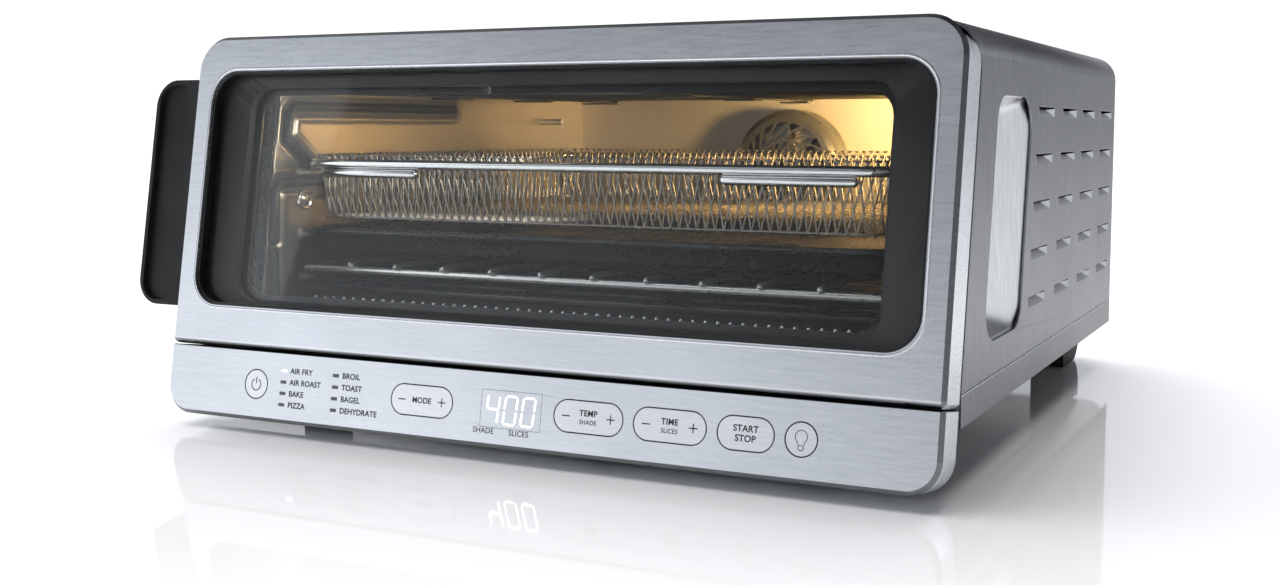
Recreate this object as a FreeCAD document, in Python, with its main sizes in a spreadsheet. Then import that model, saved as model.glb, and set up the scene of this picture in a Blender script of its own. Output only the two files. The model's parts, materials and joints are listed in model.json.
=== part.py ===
import FreeCAD, Part
import math
import os

import Sketcher

# A flip-up toaster oven: a leaning stainless front with a drop-down glass door over a key panel, a wrapped
# steel body with pressed louvres and grip pockets, and an enamelled cavity with heaters, a fan, a wire
# basket, a sheet pan and a rack. Millimetres. Each piece is drawn in one of two frames: the body frame has
# x across from the middle, y back from the foot of the front and z up from the table, and the front frame
# is the same one leaned back with the front face, so that z runs up the slope and y goes into the oven.

DIMENSIONS = {
    # front casting
    "front_width": 420,
    "front_slope": 197.4,
    "front_depth": 20,
    "slant": 10.1,
    "stand": 7,
    "seam": 35.3,
    "seam_gap": 0.9,
    "skin": 1.4,
    "band_wall": 2.5,
    "edge_chamfer": 2,
    "corner_top": 18,
    "corner_foot": 15,
    "hinge_roll": 3.5,
    "pin_radius": 1,
    "running": 0.03,
    # door window
    "window_half": 198,
    "window_low": 56.8,
    "window_high": 178.9,
    "window_corner": 16,
    "view_half": 178,
    "view_low": 61,
    "view_high": 171.5,
    "view_corner": 12,
    "glass_front": 5.5,
    "glass_thick": 3,
    "glass_half": 203,
    "glass_low": 52,
    "glass_high": 184,
    "spacer_thick": 4,
    "inner_thick": 2.5,
    "panel_thick": 1.2,
    # keys
    "key_row": 18.4,
    "key_height": 14,
    "key_gap": 0.4,
    "key_flange": 1.2,
    # wrapped body
    "shell_half": 207.5,
    "shell_low": 26,
    "shell_high": 200,
    "shell_back": 399,
    "shell_front": 21.5,
    "shell_corner": 15,
    "shell_back_corner": 10,
    "sheet": 1.2,
    # louvres and grip pockets
    "louvre_length": 37,
    "louvre_height": 4.8,
    "louvre_pitch": 23.8,
    "louvre_low": 67.4,
    "louvre_depth": 3.6,
    "pocket_low": 58,
    "pocket_high": 169,
    "pocket_front": 73,
    "pocket_length": 67,
    "pocket_depth": 20,
    "pocket_corner": 15,
    # cavity
    "cavity_half": 173,
    "cavity_floor": 58,
    "cavity_top": 181,
    "cavity_back": 352,
    "cavity_front": 23.2,
    "rail_reach": 7,
    # fan
    "fan_height": 128,
    "fan_radius": 30,
    "guard_radius": 38,
    "shaft_radius": 2.5,
    # cooking ware
    "ware_half": 169,
    "ware_front": 58,
    "basket_height": 134.5,
    "basket_floor": 104.5,
    "pan_height": 100,
    "pan_floor": 87,
    "rack_height": 78,
    # middle of the whole oven, in the body frame
    "middle_x": -17,
    "middle_y": 203.68,
}

doc = FreeCAD.newDocument("toaster_oven")
sheet = doc.addObject("Spreadsheet::Sheet", "dims")


class Size:
    """A length that carries both its value and the sheet formula that drives it."""

    def __init__(self, value, formula=None):
        self.value = float(value)
        self.formula = formula or "(%r)" % self.value

    def __float__(self):
        return self.value

    def __str__(self):
        return self.formula

    def __add__(self, other):
        return join(self, "+", other, float(self) + float(other))

    def __radd__(self, other):
        return join(other, "+", self, float(other) + float(self))

    def __sub__(self, other):
        return join(self, "-", other, float(self) - float(other))

    def __rsub__(self, other):
        return join(other, "-", self, float(other) - float(self))

    def __mul__(self, other):
        return join(self, "*", other, float(self) * float(other))

    def __truediv__(self, other):
        return join(self, "/", other, float(self) / float(other))

    def __neg__(self):
        return 0 - self


def join(left, sign, right, value):
    left, right = as_size(left), as_size(right)
    return Size(value, "(%s %s %s)" % (left, sign, right))


def as_size(length):
    return length if isinstance(length, Size) else Size(length)


def make_dims():
    """Fills the sheet, and gives each driving dimension as a Size under its own name."""
    sizes = {}
    for row, (name, value) in enumerate(DIMENSIONS.items(), start=1):
        sheet.set("A%d" % row, name)
        sheet.set("B%d" % row, str(value))
        sheet.setAlias("B%d" % row, name)
        sizes[name] = Size(value, "dims." + name)
    doc.recompute()
    return sizes


D = make_dims()
LEAN_ANGLE = math.radians(float(D["slant"]))
LEAN = Size(math.tan(LEAN_ANGLE), "tan(dims.slant * 1 deg)")
LEAN_SECANT = Size(1 / math.cos(LEAN_ANGLE), "(1 / cos(dims.slant * 1 deg))")

MIDDLE = FreeCAD.Vector(-float(D["middle_x"]), -float(D["middle_y"]), 0)
BODY = FreeCAD.Placement(MIDDLE, FreeCAD.Rotation())
LEANING = FreeCAD.Rotation(FreeCAD.Vector(1, 0, 0), -float(D["slant"]))
FRONT = FreeCAD.Placement(MIDDLE + FreeCAD.Vector(0, 0, float(D["stand"])), LEANING)
FRONT_LOCAL = FreeCAD.Placement(FreeCAD.Vector(0, 0, float(D["stand"])), LEANING)

nodes = []


def leaning_y(height, depth):
    """How far back, in the body frame, a plane at this depth behind the front is at a height."""
    return (as_size(height) - D["stand"]) * LEAN + as_size(depth) * LEAN_SECANT


def bind(thing, name, length):
    thing.setExpression(name, str(as_size(length)))


# Part primitives and booleans

def block(x, y, z):
    """A box from its low and high ends along each axis."""
    part = doc.addObject("Part::Box", "block")
    for name, axis, (low, high) in zip(("Length", "Width", "Height"), "xyz", (x, y, z)):
        bind(part, name, as_size(high) - low)
        bind(part, "Placement.Base." + axis, low)
    return part


TURNS = {
    "x": FreeCAD.Rotation(FreeCAD.Vector(0, 1, 0), 90),
    "y": FreeCAD.Rotation(FreeCAD.Vector(1, 0, 0), -90),
    "z": FreeCAD.Rotation(),
}


def rod(radius, start, length, along):
    """A cylinder from its start point, along one axis."""
    part = doc.addObject("Part::Cylinder", "rod")
    bind(part, "Radius", radius)
    bind(part, "Height", length)
    part.Placement = FreeCAD.Placement(FreeCAD.Vector(), TURNS[along])
    for axis, place in zip("xyz", start):
        bind(part, "Placement.Base." + axis, place)
    return part


def cut(base, *tools):
    tool = tools[0] if len(tools) == 1 else fuse(*tools)
    result = doc.addObject("Part::Cut", "cut")
    result.Base = base
    result.Tool = tool
    return result


def fuse(*parts):
    result = doc.addObject("Part::MultiFuse", "fuse")
    result.Shapes = list(parts)
    return result


def node(label, placement, *pieces):
    """Groups the solids of one sub-part under its name, and puts them in the oven."""
    group = doc.addObject("Part::Compound", label)
    group.Label = label
    group.Links = list(pieces)
    group.Placement = placement
    nodes.append(group)
    return group


def front_trim(depth):
    """A block that removes all that lies in front of a plane parallel to the leaning front."""
    reach = 300
    tool = doc.addObject("Part::Box", "front_trim")
    tool.Length = 2 * reach
    tool.Width = reach
    tool.Height = 2 * reach
    corner = FreeCAD.Placement(FreeCAD.Vector(-reach, float(depth) - reach, -reach), FreeCAD.Rotation())
    tool.Placement = FRONT_LOCAL.multiply(corner)
    return tool


# PartDesign bodies

def body(label, placement=None):
    """A body that is a sub-part of its own, or with no placement, a piece for another object to take up."""
    part = doc.addObject("PartDesign::Body", label)
    part.Label = label
    if placement:
        part.Placement = placement
        nodes.append(part)
    return part


def sketch(part, plane, offset=0):
    """A sketch on one of the body's own origin planes, moved along the plane's normal."""
    drawing = part.newObject("Sketcher::SketchObject", "sketch")
    planes = [item for item in part.Origin.OriginFeatures if item.Role == plane]
    drawing.AttachmentSupport = (planes[0], [""])
    drawing.MapMode = "FlatFace"
    bind(drawing, "AttachmentOffset.Base.z", offset)
    return drawing


def constrain(drawing, rules):
    """Adds all the rules at once, and binds those that end in a size to it."""
    first = drawing.ConstraintCount
    drawing.addConstraint([Sketcher.Constraint(*rule[:-1], float(rule[-1])) if isinstance(rule[-1], Size)
                           else Sketcher.Constraint(*rule) for rule in rules])
    for index, rule in enumerate(rules, start=first):
        if isinstance(rule[-1], Size):
            bind(drawing, "Constraints[%d]" % index, rule[-1])


def fix_point(geometry, point, x, y):
    """The rules that hold a point at its distances from the sketch's origin."""
    return [("DistanceX", -1, 1, geometry, point, as_size(x)),
            ("DistanceY", -1, 1, geometry, point, as_size(y))]


def polygon(drawing, points):
    """A closed outline of straight edges through the points."""
    corners = [FreeCAD.Vector(float(x), float(y), 0) for x, y in points]
    count, first = len(corners), drawing.GeometryCount
    drawing.addGeometry([Part.LineSegment(corners[k], corners[(k + 1) % count]) for k in range(count)], False)
    rules = []
    for k, (x, y) in enumerate(points):
        rules.append(("Coincident", first + k, 2, first + (k + 1) % count, 1))
        rules += fix_point(first + k, 1, x, y)
    constrain(drawing, rules)


def circle(drawing, x, y, radius):
    centre = FreeCAD.Vector(float(x), float(y), 0)
    ring = drawing.addGeometry(Part.Circle(centre, FreeCAD.Vector(0, 0, 1), float(radius)), False)
    constrain(drawing, fix_point(ring, 3, x, y) + [("Radius", ring, as_size(radius))])


def rounded_rectangle(drawing, x, y, radius):
    """A rectangle with round corners, between the two ends along each sketch axis."""
    (left, right), (low, high), r = map(float, x), map(float, y), float(radius)
    middles = [(right - r, low + r), (right - r, high - r), (left + r, high - r), (left + r, low + r)]
    first = drawing.GeometryCount
    shapes = []
    for k, middle in enumerate(middles):
        start, end = (k - 1) * math.pi / 2, k * math.pi / 2
        centre = FreeCAD.Vector(*middle, 0)
        next_centre = FreeCAD.Vector(*middles[(k + 1) % 4], 0)
        outward = FreeCAD.Vector(math.cos(end), math.sin(end), 0) * r
        shapes.append(Part.ArcOfCircle(Part.Circle(centre, FreeCAD.Vector(0, 0, 1), r), start, end))
        shapes.append(Part.LineSegment(centre + outward, next_centre + outward))
    drawing.addGeometry(shapes, False)
    arcs = [first + 2 * k for k in range(4)]
    lines = [first + 2 * k + 1 for k in range(4)]
    rules = [("Tangent", arcs[k], 2, lines[k], 1) for k in range(4)]
    rules += [("Tangent", lines[k], 2, arcs[(k + 1) % 4], 1) for k in range(4)]
    rules += [("Vertical", lines[k]) for k in (0, 2)] + [("Horizontal", lines[k]) for k in (1, 3)]
    rules += [("Equal", arcs[0], arc) for arc in arcs[1:]]
    rules += [("Radius", arcs[0], as_size(radius)),
              ("DistanceX", -1, 1, lines[0], 1, as_size(x[1])),
              ("DistanceY", -1, 1, lines[1], 1, as_size(y[1])),
              ("DistanceX", -1, 1, lines[2], 1, as_size(x[0])),
              ("DistanceY", -1, 1, lines[3], 1, as_size(y[0]))]
    constrain(drawing, rules)


def pad(part, drawing, length, reverse=False, direction=None):
    feature = part.newObject("PartDesign::Pad", "pad")
    feature.Profile = drawing
    feature.Reversed = reverse
    bind(feature, "Length", length)
    if direction:
        feature.UseCustomVector = True
        feature.Direction = direction
        feature.AlongSketchNormal = True
    return feature


def pocket(part, drawing, length, reverse=False, both_sides=False, direction=None):
    feature = part.newObject("PartDesign::Pocket", "pocket")
    feature.Profile = drawing
    feature.Reversed = reverse
    feature.Midplane = both_sides
    bind(feature, "Length", length)
    if direction:
        feature.UseCustomVector = True
        feature.Direction = direction
        feature.AlongSketchNormal = True
    return feature


def dress(part, kind, size_name, size, wanted):
    """A Fillet or Chamfer of every edge of the body so far that is wanted."""
    doc.recompute()
    base = part.Tip
    names = ["Edge%d" % k for k, edge in enumerate(base.Shape.Edges, start=1) if wanted(edge)]
    feature = part.newObject("PartDesign::" + kind, kind.lower())
    feature.Base = (base, names)
    bind(feature, size_name, size)
    return feature


def runs_along(edge, axis):
    """Whether a straight edge is parallel to one axis, 0, 1 or 2."""
    if edge.Curve.TypeId != "Part::GeomLine":
        return False
    run = edge.tangentAt(edge.FirstParameter)
    return abs(abs(run[axis]) - 1) < 1e-6


def rounded_plate(label, placement, x, z, radius, y, window=None):
    """An upright plate with round corners, and a rounded window through it if it has one."""
    part = body(label, placement)
    outline = sketch(part, "XZ_Plane", -as_size(y[0]))
    rounded_rectangle(outline, x, z, radius)
    pad(part, outline, as_size(y[1]) - y[0], reverse=True)
    if window:
        opening = sketch(part, "XZ_Plane", -as_size(y[0]))
        rounded_rectangle(opening, *window)
        pocket(part, opening, as_size(y[1]) - y[0])
    return part


def flat_tray(label, placement, x, y, radius, z, wall):
    """A tray with round corners and an open top."""
    part = body(label, placement)
    outline = sketch(part, "XY_Plane", z[0])
    rounded_rectangle(outline, x, y, radius)
    pad(part, outline, as_size(z[1]) - z[0])
    hollow = sketch(part, "XY_Plane", z[1])
    inner_x = (as_size(x[0]) + wall, as_size(x[1]) - wall)
    inner_y = (as_size(y[0]) + wall, as_size(y[1]) - wall)
    rounded_rectangle(hollow, inner_x, inner_y, as_size(radius) - wall)
    pocket(part, hollow, as_size(z[1]) - z[0] - wall)
    return part


# Places that several pieces share

FRONT_HALF = D["front_width"] / 2
DOOR_LOW = D["seam"] + D["seam_gap"] / 2
PANEL_HIGH = D["seam"] - D["seam_gap"] / 2
AXIS_Y = D["hinge_roll"]
AXIS_Z = DOOR_LOW + D["hinge_roll"]
GLASS_BACK = D["glass_front"] + D["glass_thick"]
SPACER_BACK = GLASS_BACK + D["spacer_thick"]
PANEL_FRONT = SPACER_BACK + D["inner_thick"]
PANEL_BACK = PANEL_FRONT + D["panel_thick"]
GLASS_WIDE = (-D["glass_half"], D["glass_half"])
GLASS_TALL = (D["glass_low"], D["glass_high"])
MOUTH_FRONT = D["front_depth"] + 2
PINS = (-1, 1)


def both(side, low, high):
    """The two ends of a stretch on the right, or its mirror image on the left."""
    return (low, high) if side > 0 else (-as_size(high), -as_size(low))


# Door: a folded stainless frame with a rolled window edge

def make_door_frame():
    part = body("door_frame", FRONT)
    outline = sketch(part, "XZ_Plane")
    polygon(outline, [(-FRONT_HALF, DOOR_LOW), (FRONT_HALF, DOOR_LOW),
                      (FRONT_HALF, D["front_slope"]), (-FRONT_HALF, D["front_slope"])])
    pad(part, outline, D["front_depth"], reverse=True)
    top = float(D["front_slope"])
    dress(part, "Fillet", "Radius", D["corner_top"],
          lambda edge: runs_along(edge, 1) and edge.CenterOfMass.z > top - 1)
    dress(part, "Fillet", "Radius", D["hinge_roll"],
          lambda edge: runs_along(edge, 0) and edge.CenterOfMass.y < 1 and edge.CenterOfMass.z < top / 2)
    low = float(DOOR_LOW)
    dress(part, "Chamfer", "Size", D["edge_chamfer"],
          lambda edge: edge.CenterOfMass.y < 0.01 and edge.CenterOfMass.z > low + 5)
    inner_half = FRONT_HALF - D["band_wall"]
    hollow = sketch(part, "XZ_Plane", -D["front_depth"])
    rounded_rectangle(hollow, (-inner_half, inner_half),
                      (DOOR_LOW + 2, D["front_slope"] - D["band_wall"]), 2)
    pocket(part, hollow, D["front_depth"] - D["skin"], reverse=True)
    window = sketch(part, "XZ_Plane")
    rounded_rectangle(window, (-D["window_half"], D["window_half"]),
                      (D["window_low"], D["window_high"]), D["window_corner"])
    pocket(part, window, D["front_depth"])
    slots = sketch(part, "XY_Plane", DOOR_LOW - 1)
    for side in PINS:
        x = both(side, 192.2, 194.8)
        polygon(slots, [(x[0], 0.6), (x[1], 0.6), (x[1], D["front_depth"] + 1), (x[0], D["front_depth"] + 1)])
    pocket(part, slots, 4, reverse=True)


make_door_frame()

# The bezel is the return of the window edge: a thin ring that runs back to the glass
rounded_plate("window_bezel", FRONT, (-D["window_half"], D["window_half"]),
              (D["window_low"], D["window_high"]), D["window_corner"],
              (D["skin"], D["glass_front"]),
              ((1.5 - D["window_half"], D["window_half"] - 1.5),
               (D["window_low"] + 1.5, D["window_high"] - 1.5), D["window_corner"] - 1.5))

rounded_plate("outer_glass", FRONT, GLASS_WIDE, GLASS_TALL, 8, (D["glass_front"], GLASS_BACK))

rounded_plate("glass_spacer", FRONT, GLASS_WIDE, GLASS_TALL, 8, (GLASS_BACK, SPACER_BACK),
              ((-D["view_half"], D["view_half"]), (D["view_low"], D["view_high"]), D["view_corner"]))

rounded_plate("inner_glass", FRONT, (13 - D["glass_half"], D["glass_half"] - 13),
              (D["glass_low"] + 2, D["glass_high"] - 4), 6, (SPACER_BACK, PANEL_FRONT))

rounded_plate("door_inner_panel", FRONT, (-D["glass_half"] - 1, D["glass_half"] + 1),
              (D["glass_low"] - 10, D["glass_high"] + 6), 8, (PANEL_FRONT, PANEL_BACK),
              ((3 - D["view_half"], D["view_half"] - 3),
               (D["view_low"] + 3, D["view_high"] - 3), D["view_corner"]))

# The seal lies just outside the cavity's mouth, and its bead is squeezed by the shut door
rounded_plate("door_gasket", FRONT, (-188, 188), (50, 182), 14, (PANEL_BACK, D["front_depth"] - 0.5),
              ((-184, 184), (54, 178), 10))


def make_hinges():
    """Arms on the door turn on short pins, which are pressed into brackets on the cavity's mouth."""
    arms, brackets, pins = [], [], []
    knuckle_radius, tab_front = 1.5, D["front_depth"] + 0.2
    for side in PINS:
        arm = block(both(side, 189.5, 191.9), (1.8, PANEL_FRONT), (DOOR_LOW + 2.1, D["glass_low"] - 2))
        hole = rod(D["pin_radius"] + D["running"], (both(side, 188, 193)[0], AXIS_Y, AXIS_Z), 5, "x")
        arms.append(cut(arm, hole))
        across = both(side, 192.5, 194.5)
        knuckle = rod(knuckle_radius, (across[0], AXIS_Y, AXIS_Z), 2, "x")
        reach = block(across, (AXIS_Y, MOUTH_FRONT), (AXIS_Z - knuckle_radius, AXIS_Z + knuckle_radius))
        tab = block(across, (tab_front, MOUTH_FRONT), (AXIS_Z - knuckle_radius, 60))
        seat = rod(D["pin_radius"], (both(side, 192, 195)[0], AXIS_Y, AXIS_Z), 3, "x")
        brackets.append(cut(fuse(knuckle, reach, tab), seat))
        pins.append(rod(D["pin_radius"], (both(side, 189.3, 194.5)[0], AXIS_Y, AXIS_Z), 5.2, "x"))
    node("door_hinge_arms", FRONT, *arms)
    node("hinge_brackets", FRONT, *brackets)
    node("hinge_pins", FRONT, *pins)


make_hinges()

node("glass_clips", FRONT,
     *[block((x - 6, x + 6), (D["glass_front"], PANEL_FRONT), (z, z + 6))
       for z in (D["glass_low"] - 6, D["glass_high"]) for x in (-120, 0, 120)])

node("door_screws", FRONT,
     *[rod(2.6, (x, PANEL_BACK, z), 1.4, "y") for x in (-195, 195) for z in (60, 116, 172)],
     *[rod(3, (2.5 - FRONT_HALF, 12, z), 1.6, "x") for z in (66, 165)])


def make_door_grip():
    """The moulded pull on the door's left edge, dished in front and hollow behind for the fingers."""
    part = body("door_grip", FRONT)
    outline = sketch(part, "XZ_Plane", -6)
    polygon(outline, [(-FRONT_HALF - 34, 55), (-FRONT_HALF, 55), (-FRONT_HALF, 176), (-FRONT_HALF - 34, 176)])
    pad(part, outline, 18, reverse=True)
    dress(part, "Fillet", "Radius", 14,
          lambda edge: runs_along(edge, 1) and edge.CenterOfMass.x < -float(FRONT_HALF) - 30)
    dish = sketch(part, "XZ_Plane", -6)
    rounded_rectangle(dish, (-FRONT_HALF - 31.6, -FRONT_HALF - 9), (57.4, 173.6), 10)
    pocket(part, dish, 3)
    hollow = sketch(part, "XZ_Plane", -24)
    rounded_rectangle(hollow, (-FRONT_HALF - 31.4, -FRONT_HALF - 6), (61, 170), 9)
    pocket(part, hollow, 11, reverse=True)


make_door_grip()

# Key panel: the lower part of the front, with one row of keys

ROUND_KEYS = {"power_key": -149.3, "light_key": 149.1}
LONG_KEYS = {"mode_rocker": (-46.1, 35.2), "temp_rocker": (45.8, 35.2),
             "time_rocker": (87, 35.2), "start_key": (123.5, 26)}
LAMP_COLUMNS = (-131.8, -98.9)
LAMP_ROWS = (9.4, 15.05, 20.7, 26.35)
DISPLAY = ((-12, 21), (9.5, 26.8))
SWITCH_REACH = 11
PIVOT_DEPTH = 4
PIVOT_HALF = 6


def key_span(middle, width, margin=0):
    return (middle - width / 2 - margin, middle + width / 2 + margin)


def make_key_panel():
    part = body("key_panel", FRONT)
    outline = sketch(part, "XZ_Plane")
    polygon(outline, [(-FRONT_HALF, 0), (FRONT_HALF, 0), (FRONT_HALF, PANEL_HIGH), (-FRONT_HALF, PANEL_HIGH)])
    pad(part, outline, D["front_depth"], reverse=True)
    high = float(PANEL_HIGH)
    dress(part, "Fillet", "Radius", D["corner_foot"],
          lambda edge: runs_along(edge, 1) and edge.CenterOfMass.z < 1)
    dress(part, "Chamfer", "Size", D["edge_chamfer"],
          lambda edge: edge.CenterOfMass.y < 0.01 and edge.CenterOfMass.z < high - 0.5)
    inner_half = FRONT_HALF - D["band_wall"]
    hollow = sketch(part, "XZ_Plane", -D["front_depth"])
    rounded_rectangle(hollow, (-inner_half, inner_half), (D["band_wall"], PANEL_HIGH - D["skin"]), 12)
    pocket(part, hollow, D["front_depth"] - D["skin"], reverse=True)
    key_half = D["key_height"] / 2 + D["key_gap"]
    span = (D["key_row"] - key_half, D["key_row"] + key_half)
    for middle in ROUND_KEYS.values():
        opening = sketch(part, "XZ_Plane")
        circle(opening, middle, D["key_row"], key_half)
        pocket(part, opening, 3)
    for middle, width in LONG_KEYS.values():
        opening = sketch(part, "XZ_Plane")
        rounded_rectangle(opening, key_span(middle, width, D["key_gap"]), span, key_half - 0.2)
        pocket(part, opening, 3)
    opening = sketch(part, "XZ_Plane")
    rounded_rectangle(opening, *DISPLAY, 1)
    pocket(part, opening, 3)
    for x in LAMP_COLUMNS:
        opening = sketch(part, "XZ_Plane")
        for z in LAMP_ROWS:
            left, right, low, high = x - 1.8, x + 1.8, z - 0.75, z + 0.75
            polygon(opening, [(left, low), (right, low), (right, high), (left, high)])
        pocket(part, opening, 3)


make_key_panel()


def make_key(label, middle, width, flange_front):
    """A key cap with a flange behind the panel's skin, a stem for each switch, and a rocker's pivot bar."""
    half = D["key_height"] / 2
    part = body(label, FRONT)
    for y, length, margin in ((0, flange_front, 0), (flange_front, 1.4, D["key_flange"])):
        outline = sketch(part, "XZ_Plane", -as_size(y))
        rows = (D["key_row"] - half - margin, D["key_row"] + half + margin)
        if label in ROUND_KEYS:
            circle(outline, middle, D["key_row"], half + margin)
        else:
            rounded_rectangle(outline, key_span(middle, width, margin), rows, half + margin - 0.2)
        pad(part, outline, length, reverse=True)
    stems = sketch(part, "XZ_Plane", -as_size(flange_front + 1.4))
    reaches = (-SWITCH_REACH, SWITCH_REACH) if label.endswith("rocker") else (0,)
    for reach in reaches:
        circle(stems, middle + reach, D["key_row"], 1.6)
    pad(part, stems, 9.2 - flange_front - 1.4, reverse=True)
    if label.endswith("rocker"):
        pivot = sketch(part, "XY_Plane", D["key_row"] - PIVOT_HALF)
        circle(pivot, middle, PIVOT_DEPTH, 0.8)
        pad(part, pivot, 2 * PIVOT_HALF)


for label, middle in ROUND_KEYS.items():
    make_key(label, middle, float(D["key_height"]), 2.0)
for label, (middle, width) in LONG_KEYS.items():
    make_key(label, middle, width, 2.7)

rounded_plate("display_lens", FRONT, (DISPLAY[0][0] + 0.1, DISPLAY[0][1] - 0.1),
              (DISPLAY[1][0] + 0.1, DISPLAY[1][1] - 0.1), 0.9, (0, 2.6))
node("display_housing", FRONT, block((-15, 24), (2.6, 11.4), (7, 29)))
node("indicator_lamps", FRONT,
     *[block((x - 1.7, x + 1.7), (0, 4), (z - 0.65, z + 0.65)) for x in LAMP_COLUMNS for z in LAMP_ROWS])


def make_control_board():
    """The printed board with its switches in front and its chips behind."""
    places = list(ROUND_KEYS.values()) + [LONG_KEYS["start_key"][0]]
    for label in ("mode_rocker", "temp_rocker", "time_rocker"):
        middle = LONG_KEYS[label][0]
        places += [middle - SWITCH_REACH, middle + SWITCH_REACH]
    switches = [block((x - 3, x + 3), (10.4, 11.4), (D["key_row"] - 3, D["key_row"] + 3)) for x in places]
    chips = [block((x, x + width), (13, 15), (12, 26))
             for x, width in ((-120, 18), (-20, 26), (70, 12), (130, 10))]
    node("control_board", FRONT, fuse(block((-165, 165), (11.4, 13), (6, 31)), *switches, *chips))


make_control_board()

# Body: a wrapped sheet with a folded back edge

COLUMNS = ((176.7, 0.16), (237.3, 0.13), (298.1, 0.063), (358.8, 0.028))
ROWS = 5


def louvre_places():
    """The middle of each louvre: the rows are level, and the columns lean less towards the back."""
    for foot, lean in COLUMNS:
        for row in range(ROWS):
            rise = D["louvre_pitch"] * row
            yield foot - 2 + rise * lean, D["louvre_low"] + rise


def make_shell():
    part = body("wrapped_sheet")
    half, wall = D["shell_half"], D["sheet"]
    start = 15
    outline = sketch(part, "XZ_Plane", -start)
    rounded_rectangle(outline, (-half, half), (D["shell_low"], D["shell_high"]), D["shell_corner"])
    pad(part, outline, D["shell_back"] - start, reverse=True)
    back = float(D["shell_back"])
    dress(part, "Fillet", "Radius", D["shell_back_corner"],
          lambda edge: abs(edge.CenterOfMass.y - back) < 0.01)
    hollow = sketch(part, "XZ_Plane", -start)
    rounded_rectangle(hollow, (wall - half, half - wall),
                      (D["shell_low"] + wall, D["shell_high"] - wall), D["shell_corner"] - wall)
    pocket(part, hollow, D["shell_back"] - start - D["shell_back_corner"])
    rear = sketch(part, "XZ_Plane", -start)
    rounded_rectangle(rear, (12 - half, half - 12),
                      (D["shell_low"] + 12, D["shell_high"] - 12), 6)
    pocket(part, rear, D["shell_back"])
    under = sketch(part, "XY_Plane", D["shell_low"] - 1)
    polygon(under, [(18 - half, 0), (half - 18, 0), (half - 18, 380), (18 - half, 380)])
    pocket(part, under, 1 + wall * 2, reverse=True)
    trim = sketch(part, "YZ_Plane")
    polygon(trim, [(-10, 0), (leaning_y(as_size(0), D["shell_front"]), 0),
                   (leaning_y(as_size(220), D["shell_front"]), 220), (-10, 220)])
    pocket(part, trim, 500, both_sides=True)
    grips = sketch(part, "YZ_Plane")
    polygon(grips, pocket_outline(0))
    pocket(part, grips, 500, both_sides=True)
    near = [(float(y), float(z)) for y, z in pocket_outline(0)]
    dress(part, "Fillet", "Radius", D["pocket_corner"],
          lambda edge: runs_along(edge, 0) and any(
              abs(edge.CenterOfMass.y - y) + abs(edge.CenterOfMass.z - z) < 0.1 for y, z in near))
    y_half, z_half = D["louvre_length"] / 2, D["louvre_height"] / 2
    slots = [block((-half - 1, half + 1), (y - y_half, y + y_half), (z - z_half, z + z_half))
             for y, z in louvre_places()]
    node("outer_shell", BODY, cut(part, *slots))


def pocket_outline(margin):
    """The leaning outline of a grip pocket's mouth on the side of the body, as y and z."""
    low, high = D["pocket_low"] - margin, D["pocket_high"] + margin
    front, length = D["pocket_front"] - margin, D["pocket_length"] + 2 * margin
    shift = (high - low) * LEAN
    return [(front, low), (front + length, low), (front + length + shift, high), (front + shift, high)]


make_shell()


def make_grip_pocket(label, side):
    """A pressed scoop behind the pocket's mouth: level with the skin at its back edge, deep in front."""
    part = body(label, BODY)
    wall, face = D["sheet"], D["shell_half"] - D["sheet"]
    up = FreeCAD.Vector(0, float(LEAN), 1)
    low, high = D["pocket_low"] - 1, D["pocket_high"] + 1
    front, back = D["pocket_front"] - 1, D["pocket_front"] + D["pocket_length"] + 1
    outline = sketch(part, "XY_Plane", low - wall)
    polygon(outline, [(face * side, front - wall), (face * side, back + 4),
                      ((face - D["pocket_depth"] - wall) * side, front - wall)])
    pad(part, outline, high - low + wall * 2, direction=up)
    hollow = sketch(part, "XY_Plane", low)
    polygon(hollow, [((face + 1) * side, front), ((face + 1) * side, back + 1), (face * side, back),
                     ((face - D["pocket_depth"]) * side, front)])
    pocket(part, hollow, high - low, direction=up)


make_grip_pocket("right_grip_pocket", 1)
make_grip_pocket("left_grip_pocket", -1)


def louvre_vanes(side):
    """The sloping vane behind each slot, pressed in at its top edge."""
    vanes = []
    tilt = math.degrees(math.atan2(float(D["louvre_depth"]), float(D["louvre_height"])))
    for y, z in louvre_places():
        vane = doc.addObject("Part::Box", "vane")
        bind(vane, "Length", 0.8)
        bind(vane, "Width", D["louvre_length"] - 0.4)
        bind(vane, "Height", D["louvre_height"] * 1.15)
        foot = FreeCAD.Vector(side * (float(D["shell_half"] - D["sheet"]) - 0.1),
                              float(y - D["louvre_length"] / 2) + 0.2,
                              float(z - D["louvre_height"] / 2) - 0.2)
        turn = FreeCAD.Rotation(FreeCAD.Vector(0, 1, 0), -side * tilt)
        inward = FreeCAD.Placement(FreeCAD.Vector(-0.8 if side > 0 else 0, 0, 0), FreeCAD.Rotation())
        vane.Placement = FreeCAD.Placement(foot, turn).multiply(inward)
        vanes.append(vane)
    return vanes


node("louvre_vanes", BODY, *louvre_vanes(1), *louvre_vanes(-1))

flat_tray("base_pan", BODY, (-186, 186), (leaning_y(D["shell_low"], 24), 378), 8,
          (D["shell_low"], 40), D["sheet"])


def make_rear_panel():
    half, wall = D["shell_half"] - D["sheet"] * 2, D["sheet"]
    plate = rounded_plate("rear_sheet", None, (0.4 - half, half - 0.4),
                          (D["shell_low"] + 3, D["shell_high"] - 3), 12, (REAR_FACE - wall, REAR_FACE))
    vents = [block((x, x + 4), (REAR_FACE - 5, REAR_FACE + 5), (z, z + 24))
             for z in range(66, 160, 36) for x in range(-145, 150, 22)]
    node("rear_panel", BODY, cut(plate, rod(7, (160, REAR_FACE - 5, 48), 10, "y"), *vents))


REAR_FACE = D["shell_back"] - D["shell_back_corner"] - D["sheet"] - 0.3
make_rear_panel()

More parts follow.
